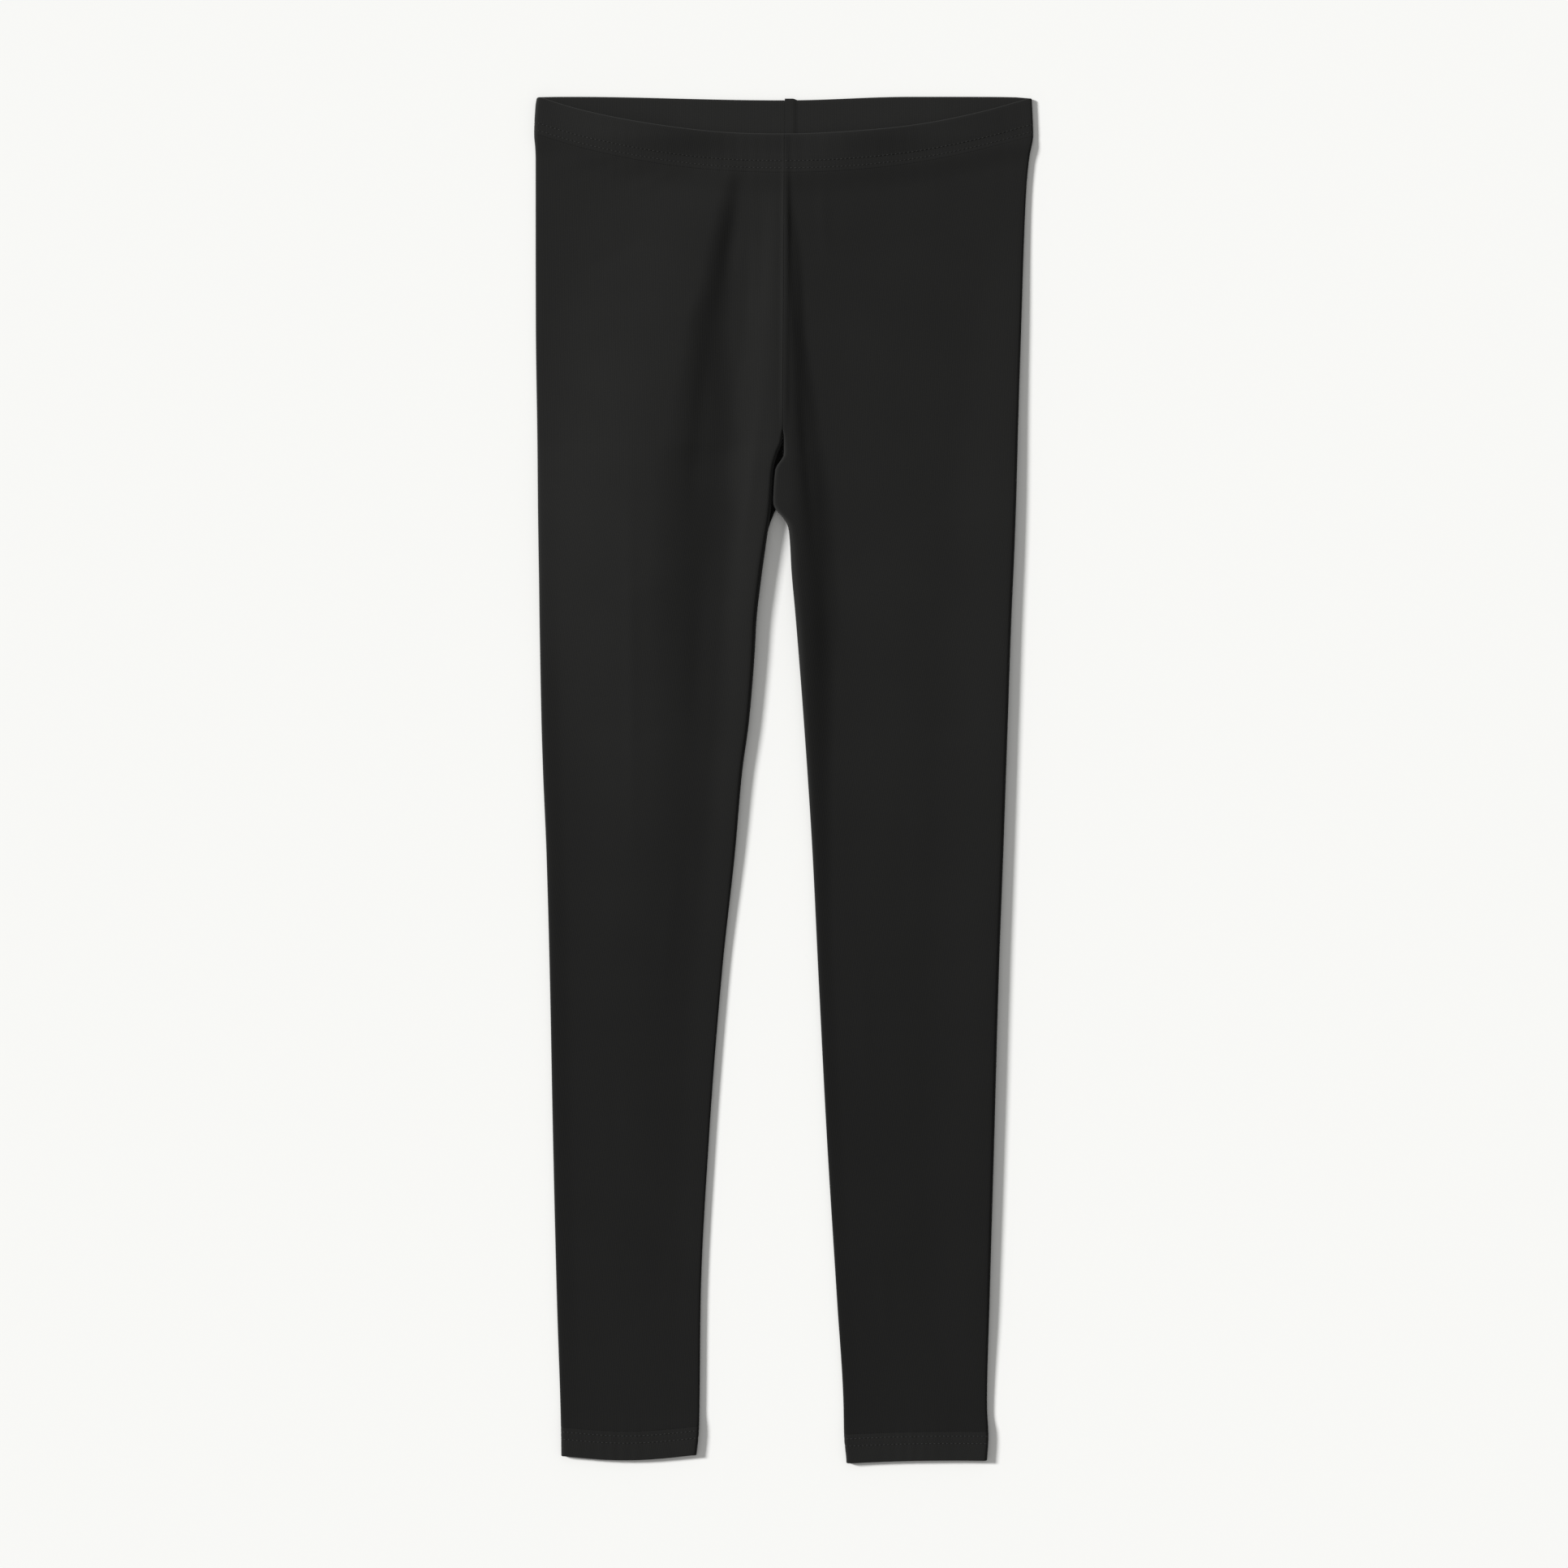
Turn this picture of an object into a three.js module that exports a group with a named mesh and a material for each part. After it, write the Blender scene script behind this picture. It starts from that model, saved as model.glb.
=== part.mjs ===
// Full-length jersey leggings, laid flat on their back with the front uppermost.
//
// Each leg is one panel that wraps from the centre back seam round the outside of the leg to the
// centre front seam; below the crotch its two edges meet at the inseam. An elastic casing runs
// round the waist and a turned-up hem round each ankle. There are no side seams, and the front of
// the waist is cut lower than the back, so the inside of the back casing shows above it.
//
// Millimetres. +Z is up from the surface, +Y points to the waist, +X to the wearer's left leg.
// The origin is the middle of the footprint, on the surface that the leggings lie on.
import * as THREE from "three";

// Overall sizes.
const LENGTH = 940; // top of the waist to the lowest point of the hems
const CASING_HEIGHT = 26.5; // elastic casing, top edge to its stitching
const HEM_HEIGHT = 20; // turned-up hem, stitching to edge
const FRONT_DROP = 23.4; // the front waist edge lies this far below the back one at the centre
const WAIST_SAG = 2.4; // the waist edge dips this far towards the centre
const FRONT_SAG_WIDTH = 137; // the front edge's dip reaches this far to each side
const CROTCH_DOWN = 237; // top of the waist to the end of the centre front seam
const BACK_CROTCH_DOWN = 264; // the back rise is longer, and shows as a wedge between the legs
const BACK_CROTCH_END = 300; // below here each leg's back lies no further in than its front

// Cloth.
const CLOTH = 1.1; // one layer of jersey
const CASING_WALL = 2.2; // two layers with the elastic between them
const HEM_WALL = 1.6; // two layers
const LAYER_AIR = 0.5; // between the front and the back where nothing lifts the front
const SEAM_GAP = 0.3; // between pieces at a seam
const SEAM_WELT = 0.5; // the centre front seam stands this proud on its allowance
const SEAM_WELT_WIDTH = 4;
const SEAM_ALLOWANCE = 2; // which lies under the left panel
const CASING_WELT = 0.3; // the share of it that shows on the casing, where the elastic is

// The centre seam starts a little to the wearer's left of the middle, and leans the other way on
// its way down to the crotch.
const SEAM_START = 0.65;
const SEAM_LEAN = -1.4;

// How steeply the front waist edge curves up to the side folds, as a power of the half width.
const WAIST_HALF = 171.3;
const WAIST_CURVE = 2.6;

// The flat outline of each leg: a row for each level, "down" being the distance below the top of
// the waist, "outer" and "inner" the folded edges' distances from the centre line.
const RIGHT_OUTLINE = [
  { down: 0, outer: 169.9, inner: 0 },
  { down: 6, outer: 170.8, inner: 0 },
  { down: 26, outer: 171.8, inner: 0 },
  { down: 35, outer: 171.1, inner: 0 },
  { down: 42, outer: 170.8, inner: 0 },
  { down: 100, outer: 170.8, inner: 0 },
  { down: 156, outer: 170.7, inner: 0 },
  { down: CROTCH_DOWN, outer: 169.6, inner: 0.95 },
  { down: 246, outer: 169.5, inner: 4.4 },
  { down: 257, outer: 169.4, inner: 7.1 },
  { down: 281, outer: 169.2, inner: 8.6 },
  { down: 310, outer: 168.8, inner: 12.5 },
  { down: 335, outer: 168.4, inner: 15.9 },
  { down: 360, outer: 168.1, inner: 18.7 },
  { down: 385, outer: 167.7, inner: 20.1 },
  { down: 430, outer: 166.8, inner: 23.9 },
  { down: 465, outer: 165.7, inner: 28.6 },
  { down: 519, outer: 163.4, inner: 33.4 },
  { down: 603, outer: 161.1, inner: 42.5 },
  { down: 715, outer: 158.9, inner: 51.3 },
  { down: 827, outer: 156.2, inner: 57.1 },
  { down: 916, outer: 153.4, inner: 58.2 },
  { down: LENGTH, outer: 153.1, inner: 60.2 },
];
// Just below the centre front seam the left leg's inner fold laps over towards the right leg.
const LEFT_OUTLINE = [
  { down: 0, outer: 170.6, inner: 0 },
  { down: 12, outer: 171.1, inner: 0 },
  { down: 26, outer: 171.6, inner: 0 },
  { down: 42, outer: 168.9, inner: 0 },
  { down: 61, outer: 167.0, inner: 0 },
  { down: 100, outer: 165.2, inner: 0 },
  { down: 156, outer: 163.4, inner: 0 },
  { down: CROTCH_DOWN, outer: 160.9, inner: -0.6 },
  { down: 246, outer: 160.7, inner: -0.3 },
  { down: 257, outer: 160.4, inner: -6.5 },
  { down: 279, outer: 159.8, inner: -8.0 },
  { down: 296, outer: 159.2, inner: 3.0 },
  { down: 310, outer: 158.7, inner: 4.3 },
  { down: 324, outer: 158.1, inner: 5.0 },
  { down: 357, outer: 156.6, inner: 7.9 },
  { down: 435, outer: 153.9, inner: 14.0 },
  { down: 519, outer: 151.0, inner: 19.5 },
  { down: 603, outer: 147.9, inner: 23.6 },
  { down: 715, outer: 144.8, inner: 29.4 },
  { down: 827, outer: 141.6, inner: 36.4 },
  { down: 900, outer: 139.8, inner: 40.9 },
  { down: 922, outer: 140.8, inner: 41.3 },
  { down: LENGTH, outer: 139.8, inner: 42.9 },
];

// Folds of the front layer. Each is a long soft ridge: its crest lies "fromInner" outside the
// inner edge, stands "height" above the lying cloth, and dies away over the "inward" and "outward"
// widths. The cloth between two ridges is the trough that shows beside the centre seam.
const RIGHT_FOLDS = {
  innerRoll: [
    { down: 50, fromInner: 4, height: 0, inward: 40, outward: 14 },
    { down: 83, fromInner: 4, height: 1.0, inward: 40, outward: 16 },
    { down: 128, fromInner: 5, height: 2.4, inward: 40, outward: 20 },
    { down: 156, fromInner: 5, height: 2.9, inward: 40, outward: 24 },
    { down: 184, fromInner: 5, height: 3.5, inward: 40, outward: 28 },
    { down: 212, fromInner: 4, height: 4.0, inward: 40, outward: 33 },
    { down: 240, fromInner: 3, height: 4.1, inward: 40, outward: 34 },
    { down: 268, fromInner: 2, height: 3.9, inward: 40, outward: 31 },
    { down: 296, fromInner: 2, height: 2.6, inward: 40, outward: 26 },
    { down: 357, fromInner: 1, height: 2.0, inward: 40, outward: 26 },
    { down: 492, fromInner: 0, height: 1.4, inward: 40, outward: 24 },
    { down: 604, fromInner: 0, height: 0.7, inward: 40, outward: 24 },
    { down: 916, fromInner: 0, height: 0.3, inward: 40, outward: 20 },
  ],
  thigh: [
    { down: 38, fromInner: 38, height: 0, inward: 14, outward: 80 },
    { down: 61, fromInner: 43, height: 1.6, inward: 16, outward: 90 },
    { down: 83, fromInner: 48.5, height: 3.2, inward: 20, outward: 95 },
    { down: 106, fromInner: 54, height: 3.9, inward: 22, outward: 95 },
    { down: 134, fromInner: 60, height: 4.7, inward: 26, outward: 95 },
    { down: 156, fromInner: 68, height: 6.0, inward: 33, outward: 98 },
    { down: 179, fromInner: 71, height: 6.4, inward: 37, outward: 100 },
    { down: 212, fromInner: 77, height: 7.1, inward: 47, outward: 104 },
    { down: 257, fromInner: 83, height: 7.6, inward: 58, outward: 108 },
    { down: 324, fromInner: 79, height: 7.8, inward: 61, outward: 104 },
    { down: 357, fromInner: 76, height: 6.6, inward: 59, outward: 92 },
    { down: 390, fromInner: 71, height: 4.9, inward: 55, outward: 78 },
    { down: 435, fromInner: 65, height: 3.6, inward: 52, outward: 62 },
    { down: 492, fromInner: 60, height: 2.5, inward: 46, outward: 56 },
    { down: 604, fromInner: 55, height: 1.2, inward: 42, outward: 50 },
    { down: 760, fromInner: 48, height: 0.5, inward: 36, outward: 40 },
    { down: 916, fromInner: 46, height: 0, inward: 34, outward: 38 },
  ],
  lift: [
    { down: 200, fromInner: 0, height: 0, inward: 40, outward: 150 },
    { down: 240, fromInner: 0, height: 0.6, inward: 40, outward: 150 },
    { down: 268, fromInner: 0, height: 1.3, inward: 40, outward: 150 },
    { down: 296, fromInner: 0, height: 1.9, inward: 40, outward: 150 },
    { down: 324, fromInner: 0, height: 2.1, inward: 40, outward: 150 },
    { down: 357, fromInner: 0, height: 1.9, inward: 40, outward: 150 },
    { down: 408, fromInner: 0, height: 1.5, inward: 40, outward: 150 },
    { down: 492, fromInner: 0, height: 0.8, inward: 40, outward: 150 },
    { down: 604, fromInner: 0, height: 0, inward: 40, outward: 150 },
  ],
};
const LEFT_FOLDS = {
  innerRoll: [
    { down: 50, fromInner: 0, height: 0, inward: 60, outward: 6 },
    { down: 83, fromInner: 1.0, height: 1.2, inward: 60, outward: 8 },
    { down: 106, fromInner: 2.6, height: 2.0, inward: 60, outward: 10 },
    { down: 156, fromInner: 4.0, height: 2.9, inward: 60, outward: 12 },
    { down: 184, fromInner: 4.0, height: 3.6, inward: 60, outward: 16 },
    { down: 212, fromInner: 4.0, height: 4.2, inward: 60, outward: 21 },
    { down: CROTCH_DOWN, fromInner: 4.0, height: 4.6, inward: 60, outward: 24 },
    { down: 246, fromInner: 4.0, height: 5.0, inward: 60, outward: 26 },
    { down: 257, fromInner: 10.3, height: 5.4, inward: 60, outward: 28 },
    { down: 279, fromInner: 13.0, height: 5.6, inward: 60, outward: 30 },
    { down: 296, fromInner: 3.0, height: 5.6, inward: 60, outward: 30 },
    { down: 357, fromInner: 2.4, height: 5.6, inward: 60, outward: 28 },
    { down: 408, fromInner: 1.4, height: 3.9, inward: 60, outward: 23 },
    { down: 492, fromInner: 0.3, height: 2.1, inward: 60, outward: 16 },
    { down: 604, fromInner: 0, height: 0.9, inward: 60, outward: 12 },
    { down: 916, fromInner: 0, height: 0.2, inward: 60, outward: 12 },
  ],
  thigh: [
    { down: 60, fromInner: 90, height: 0, inward: 50, outward: 50 },
    { down: 200, fromInner: 90, height: 0.8, inward: 55, outward: 60 },
    { down: 435, fromInner: 75, height: 0.8, inward: 50, outward: 50 },
    { down: 715, fromInner: 60, height: 0.3, inward: 40, outward: 45 },
  ],
};
// The side folds of the legs spring up a little too: "height" above the lying cloth.
const RIGHT_SIDE_ROLL = [
  { down: 60, height: 0.1, width: 15 },
  { down: 160, height: 0.1, width: 15 },
  { down: 320, height: 0.3, width: 15 },
  { down: 435, height: 0.9, width: 15 },
  { down: 603, height: 0.8, width: 15 },
  { down: 827, height: 0.5, width: 15 },
  { down: 916, height: 0.2, width: 15 },
];
const LEFT_SIDE_ROLL = [
  { down: 60, height: 0.1, width: 20 },
  { down: 160, height: 1.2, width: 36 },
  { down: 320, height: 2.4, width: 52 },
  { down: 603, height: 2.6, width: 52 },
  { down: 827, height: 1.9, width: 44 },
  { down: 916, height: 0.4, width: 24 },
];

// Where the front casing bows up off the back one: each crest's place from the centre line, and
// how far it takes to die away towards the wearer's right and towards the left.
const CASING_BOWS = [
  { across: -90, height: 3.8, toRight: 76, toLeft: 62 },
  { across: 45, height: 3.0, toRight: 45, toLeft: 62 },
];
const BOW_FADE = 60; // the bow has died away this far below the top of the waist

// The lower edge of each hem: how far down its inner and outer corners lie, and the bow between.
const RIGHT_HEM = { inner: 934.5, outer: 935.2, bow: 3.1 };
const LEFT_HEM = { inner: 940.0, outer: 938.2, bow: -0.8 };

// "waistCorner" is how far the waist edge is rounded off at the side fold.
const RIGHT_LEG = {
  side: -1,
  waistCorner: 0.3,
  backSagWidth: 150,
  allowance: 0,
  outline: RIGHT_OUTLINE,
  folds: RIGHT_FOLDS,
  sideRoll: RIGHT_SIDE_ROLL,
  hem: RIGHT_HEM,
};
const LEFT_LEG = {
  side: 1,
  waistCorner: 1.1,
  backSagWidth: 88,
  allowance: SEAM_ALLOWANCE,
  outline: LEFT_OUTLINE,
  folds: LEFT_FOLDS,
  sideRoll: LEFT_SIDE_ROLL,
  hem: LEFT_HEM,
};

// Smooth step from 0 at "from" to 1 at "to".
function smooth(from, to, at) {
  return THREE.MathUtils.smoothstep(at, from, to);
}

// A column of a table at a level between its rows, on a curve that never overshoots a row.
function along(table, column, down) {
  const last = table.length - 1;
  if (down <= table[0].down) return table[0][column];
  if (down >= table[last].down) return table[last][column];
  const i = table.findIndex((row) => row.down > down) - 1;
  const span = (k) => table[k + 1].down - table[k].down;
  const slope = (k) => (table[k + 1][column] - table[k][column]) / span(k);
  const tangent = (k) => {
    if (k === 0 || k === last) return 0;
    const before = slope(k - 1);
    const after = slope(k);
    if (before * after <= 0) return 0;
    return (2 * before * after) / (before + after);
  };
  const t = (down - table[i].down) / span(i);
  const bend = t * t * (3 - 2 * t);
  const chord = table[i][column] * (1 - bend) + table[i + 1][column] * bend;
  const start = (t - 2 * t * t + t * t * t) * span(i) * tangent(i);
  const end = (t * t * t - t * t) * span(i) * tangent(i + 1);
  return chord + start + end;
}

// A round-topped ridge: 1 on its crest, 0 one width away.
function ridge(distance, width) {
  const share = Math.min(1, Math.abs(distance) / width);
  return 0.5 + 0.5 * Math.cos(Math.PI * share);
}

// The centre seam's distance from the centre line, on a leg's own side.
function seamAcross(leg, down) {
  return leg.side * (SEAM_START + SEAM_LEAN * Math.min(1, down / CROTCH_DOWN)) + SEAM_GAP / 2;
}

// Where a leg's inner edge lies: the centre seam above the crotch, the inseam below it.
function innerEdge(leg, down) {
  if (down <= CROTCH_DOWN) return seamAcross(leg, down);
  return along(leg.outline, "inner", down);
}

// Where the back's inner edge lies: it stays on the centre seam for longer than the front's.
function backEdge(leg, down) {
  if (down <= CROTCH_DOWN) return seamAcross(leg, down);
  const seam = seamAcross(leg, CROTCH_DOWN);
  const apart = smooth(BACK_CROTCH_DOWN, BACK_CROTCH_END, down);
  return seam + (innerEdge(leg, down) - seam) * apart;
}

function outerEdge(leg, down) {
  return along(leg.outline, "outer", down);
}

// How far a level is shifted down: by the curve of the waist near the top, where the front lies
// lower than the back, and by the cut of the hem near the bottom.
function shift(leg, across, share, isFront, down) {
  const part = Math.min(1, Math.abs(across) / WAIST_HALF);
  const sag = WAIST_SAG * ridge(across, isFront ? FRONT_SAG_WIDTH : leg.backSagWidth);
  const corner = leg.waistCorner * Math.pow(part, 24);
  const drop = isFront ? FRONT_DROP * (1 - Math.pow(part, WAIST_CURVE)) : 0;
  const waist = (sag + corner + drop) * (1 - smooth(CASING_HEIGHT, 165, down));
  const corners = leg.hem.inner + (leg.hem.outer - leg.hem.inner) * share - LENGTH;
  const bow = leg.hem.bow * Math.sin(Math.PI * share);
  return waist + (corners + bow) * smooth(820, LENGTH - HEM_HEIGHT, down);
}

// How high the inside of the front layer lies above the surface.
function frontLift(leg, across, down) {
  const inner = innerEdge(leg, down);
  const outer = outerEdge(leg, down);
  const casingBelow = 1 - smooth(CASING_HEIGHT, CASING_HEIGHT + 14, down);
  const hemBelow = smooth(LENGTH - HEM_HEIGHT - 14, LENGTH - HEM_HEIGHT, down);
  const below = CLOTH + (CASING_WALL - CLOTH) * casingBelow + (HEM_WALL - CLOTH) * hemBelow;
  let height = below + LAYER_AIR;
  for (const rows of Object.values(leg.folds)) {
    const distance = across - inner - along(rows, "fromInner", down);
    const width = along(rows, distance < 0 ? "inward" : "outward", down);
    height += along(rows, "height", down) * ridge(distance, width);
  }
  const rollWidth = along(leg.sideRoll, "width", down);
  height += along(leg.sideRoll, "height", down) * ridge(outer - across, rollWidth);
  for (const bow of CASING_BOWS) {
    const distance = leg.side * across - bow.across;
    const width = distance < 0 ? bow.toRight : bow.toLeft;
    height += bow.height * ridge(distance, width) * (1 - smooth(CASING_HEIGHT, BOW_FADE, down));
  }
  return height;
}

// The centre front seam stands up on its allowance, on both panels' edges.
function welt(leg, across, down) {
  const fromSeam = Math.max(0, across - seamAcross(leg, down) - leg.allowance);
  const grow = CASING_WELT + (1 - CASING_WELT) * smooth(CASING_HEIGHT, 70, down);
  const fade = 1 - smooth(CROTCH_DOWN - 30, CROTCH_DOWN, down);
  return SEAM_WELT * grow * fade * ridge(fromSeam, SEAM_WELT_WIDTH);
}

// Stations across the front layer from the inner edge to the side fold, closest by the centre
// seam, where the folds are. The back layer is flat and needs fewer.
const FRONT_STATIONS = [0, 0.03, 0.075, 0.125, 0.175, 0.225, 0.29, 0.35, 0.41, 0.48, 0.59, 0.78, 1];
const BACK_STATIONS = [0, 0.25, 0.55, 0.8, 1];
const SIDE_TURNS = [-45, 0, 45]; // degrees round the side fold
const EDGE_TURNS = [0.33, 0.67, 1]; // shares of the turn of an edge towards the inseam
const EDGE_TURN_START = CROTCH_DOWN - 9;

// One section of a panel at a level: a list of points from the centre back seam or inseam, along
// the back, round the side fold and along the front. Each has its place on the cloth's face and
// the direction out of the cloth there.
function section(leg, level, row) {
  const points = [];
  const frontTurn = (Math.PI / 2) * smooth(EDGE_TURN_START, CROTCH_DOWN, level);
  const apart = smooth(BACK_CROTCH_DOWN, BACK_CROTCH_END, level);
  const backTurn = (Math.PI / 2) * apart;

  const place = (share, isFront) => {
    const nominal = innerEdge(leg, level) + share * (outerEdge(leg, level) - innerEdge(leg, level));
    const down = level + shift(leg, nominal, share, isFront, level);
    const inner = isFront ? innerEdge(leg, down) : backEdge(leg, down);
    return { down, inner, outer: outerEdge(leg, down) };
  };
  const faceHeight = (across, down) =>
    frontLift(leg, across, down) + row.wall + row.rise + welt(leg, across, down);
  const add = (across, down, height, outAcross, outUp) => {
    const length = Math.hypot(outAcross, outUp);
    points.push({ across, down, height, outAcross: outAcross / length, outUp: outUp / length });
  };

  // Half the height of the cloth at each folded edge, which is the fold's own radius.
  const side = place(1, true);
  const sideRadius = faceHeight(side.outer - 2, side.down) / 2;
  const sideReach = sideRadius + 0.3;
  const edge = place(0, true);
  const edgeRadius = faceHeight(edge.inner + 2, edge.down) / 2;
  const frontReach = edgeRadius * Math.sin(frontTurn);
  const backReach = edgeRadius * Math.sin(backTurn);

  // Below the end of the centre front seam the front's edge turns down, at first on to the longer
  // back and then, where the back has come in to it, to the inseam half way up.
  const halfWay = edgeRadius - SEAM_GAP / 2;
  const toBack = 2 * edgeRadius - CLOTH - SEAM_GAP;
  const addEdge = (isFront) => {
    const at = place(0, isFront);
    const turn = isFront ? frontTurn : backTurn;
    const reach = isFront ? frontReach : backReach;
    const depth = isFront ? toBack + (halfWay - toBack) * apart : halfWay;
    const top = isFront ? 2 * edgeRadius : 0;
    const up = isFront ? 1 : -1;
    const turns = EDGE_TURNS.map((share) => {
      const angle = turn * share;
      const across = at.inner + reach - edgeRadius * Math.sin(angle);
      const height = top - up * depth * (1 - Math.cos(angle));
      return [across + (1 - share) * 1e-3, height, -depth * Math.sin(angle), up * edgeRadius * Math.cos(angle)];
    });
    const ordered = isFront ? turns : turns.reverse();
    ordered.forEach(([across, height, outAcross, outUp]) => add(across, at.down, height, outAcross, outUp));
  };

  addEdge(false);
  for (const share of BACK_STATIONS) {
    const at = place(share, false);
    const from = at.inner + backReach + 1;
    add(from + share * (at.outer - sideReach - from), at.down, 0, 0, -1);
  }
  for (const degrees of SIDE_TURNS) {
    const angle = THREE.MathUtils.degToRad(degrees);
    const across = side.outer - sideReach + sideReach * Math.cos(angle);
    const height = sideRadius + sideRadius * Math.sin(angle);
    add(across, side.down, height, sideRadius * Math.cos(angle), sideReach * Math.sin(angle));
  }
  for (const share of [...FRONT_STATIONS].reverse()) {
    const at = place(share, true);
    const from = at.inner + frontReach + 1;
    const across = from + share * (at.outer - sideReach - from);
    const height = faceHeight(across, at.down);
    add(across, at.down, height, 0, 1);
  }
  addEdge(true);
  return points;
}

// A panel's solid: the cloth's face through its sections, its inside one wall further in, and the
// narrow edges between them. "rows" has a row for each section.
function panel(leg, rows) {
  const outside = [];
  const inside = [];
  for (const row of rows) {
    const points = section(leg, row.level, row);
    const at = (p, depth) => [
      leg.side * (p.across - p.outAcross * depth),
      LENGTH / 2 - p.down,
      p.height - p.outUp * depth,
    ];
    outside.push(points.map((p) => at(p, row.faceInset)));
    inside.push(points.map((p) => at(p, row.wall - row.insideInset)));
  }
  const around = outside[0].length;
  const positions = [...outside.flat(), ...inside.flat()].flat();
  const insideStart = rows.length * around;
  const indices = [];
  const quad = (a, b, c, d) => {
    if (leg.side > 0) indices.push(a, c, b, a, d, c);
    else indices.push(a, b, c, a, c, d);
  };
  for (let r = 0; r < rows.length; r++) {
    for (let i = 0; i < around - 1; i++) {
      const here = r * around + i;
      const next = here + around;
      if (r < rows.length - 1) {
        quad(here, next, next + 1, here + 1);
        quad(insideStart + here, insideStart + here + 1, insideStart + next + 1, insideStart + next);
      }
      if (r === 0) quad(here, here + 1, insideStart + here + 1, insideStart + here);
      if (r === rows.length - 1) quad(here, insideStart + here, insideStart + here + 1, here + 1);
    }
    if (r === rows.length - 1) continue;
    for (const i of [0, around - 1]) {
      const here = r * around + i;
      const next = here + around;
      if (i === 0) quad(here, insideStart + here, insideStart + next, next);
      else quad(here, next, insideStart + next, insideStart + here);
    }
  }
  const geometry = new THREE.BufferGeometry();
  geometry.setAttribute("position", new THREE.Float32BufferAttribute(positions, 3));
  geometry.setIndex(indices);
  geometry.computeVertexNormals();
  return geometry;
}

// The waist casing: rounded over at its top edge, drawn in a little at its stitching.
function casingRows() {
  const profile = [
    { fromTop: 0, inset: 0.7 },
    { fromTop: 0.9, inset: 0.25 },
    { fromTop: 2.5, inset: 0 },
    { fromTop: 11, inset: 0 },
    { fromTop: 20, inset: 0 },
    { fromTop: 23, inset: 0.2 },
    { fromTop: CASING_HEIGHT, inset: 0.1 },
  ];
  return profile.map(({ fromTop, inset }) => ({
    level: fromTop,
    wall: CASING_WALL,
    rise: 0,
    faceInset: inset,
    insideInset: inset,
  }));
}

// A leg between the casing and the hem. Near each of them its face rises to theirs.
const LEG_LEVELS = [
  0, 5, 11, 20, 32, 46, 62, 80, 100, 120, 140, 160, 178, 191, 199, 205, 210.5, 216, 220, 224, 228,
  232, 239, 245, 249, 252, 255, 259, 267, 277, 295, 310, 330, 360, 395, 430, 480, 535, 595, 660,
  725, 790, 840, 870, 884,
];

function legRows() {
  const start = CASING_HEIGHT + SEAM_GAP;
  const end = LENGTH - HEM_HEIGHT - SEAM_GAP;
  const levels = LEG_LEVELS.map((level) => start + level).concat(end);
  return levels.map((level) => ({
    level,
    wall: CLOTH,
    rise:
      (CASING_WALL - CLOTH) * (1 - smooth(start, start + 16, level)) +
      (HEM_WALL - CLOTH) * smooth(end - 12, end, level),
    faceInset: 0,
    insideInset: 0,
  }));
}

// The turned-up hem, rounded over at its lower edge.
function hemRows() {
  const profile = [
    { fromEdge: HEM_HEIGHT, inset: 0.1 },
    { fromEdge: HEM_HEIGHT - 3.5, inset: 0.15 },
    { fromEdge: HEM_HEIGHT - 7, inset: 0 },
    { fromEdge: 2.5, inset: 0 },
    { fromEdge: 0.8, inset: 0.25 },
    { fromEdge: 0, inset: 0.65 },
  ];
  return profile.map(({ fromEdge, inset }) => ({
    level: LENGTH - fromEdge,
    wall: HEM_WALL,
    rise: 0,
    faceInset: inset,
    insideInset: inset,
  }));
}

const jersey = new THREE.MeshStandardMaterial({ color: "#232322", roughness: 0.92, metalness: 0 });
const casingCloth = new THREE.MeshStandardMaterial({ color: "#272725", roughness: 0.92, metalness: 0 });
const hemCloth = new THREE.MeshStandardMaterial({ color: "#252524", roughness: 0.92, metalness: 0 });

function piece(name, geometry, material) {
  const mesh = new THREE.Mesh(geometry, material);
  mesh.name = name;
  return mesh;
}

function legGroup(leg, word) {
  const group = new THREE.Group();
  group.add(piece(`waist_casing_${word}`, panel(leg, casingRows()), casingCloth));
  group.add(piece(`leg_${word}`, panel(leg, legRows()), jersey));
  group.add(piece(`hem_${word}`, panel(leg, hemRows()), hemCloth));
  return group;
}

const leggings = new THREE.Group();
leggings.add(legGroup(RIGHT_LEG, "right"));
leggings.add(legGroup(LEFT_LEG, "left"));

export default leggings;
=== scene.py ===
"""Full-length jersey leggings, laid flat on their back with the front uppermost.

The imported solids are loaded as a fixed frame, and each is replaced by a thin shell of cloth on the
same form, with its finer creases, its seams and its sewing. Tables are in millimetres; meshes are
in metres, +Y to the waist, +Z up off the surface, and left and right are the wearer's.
"""

import math

import bpy
import numpy as np
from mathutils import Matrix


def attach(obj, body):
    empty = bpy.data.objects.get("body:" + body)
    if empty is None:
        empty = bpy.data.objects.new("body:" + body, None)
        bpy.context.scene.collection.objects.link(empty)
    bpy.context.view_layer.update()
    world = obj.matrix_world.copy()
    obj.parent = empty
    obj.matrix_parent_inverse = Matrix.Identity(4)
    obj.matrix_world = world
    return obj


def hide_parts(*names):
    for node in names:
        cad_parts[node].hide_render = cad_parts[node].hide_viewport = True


bl_info = {
    "name": "Jersey leggings",
    "version": (1, 0, 0),
    "blender": (4, 5, 0),
    "location": "View3D > Sidebar > Leggings",
    "description": "Builds a pair of jersey leggings laid flat, with sewing and a plain studio",
    "category": "Object",
}

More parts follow.
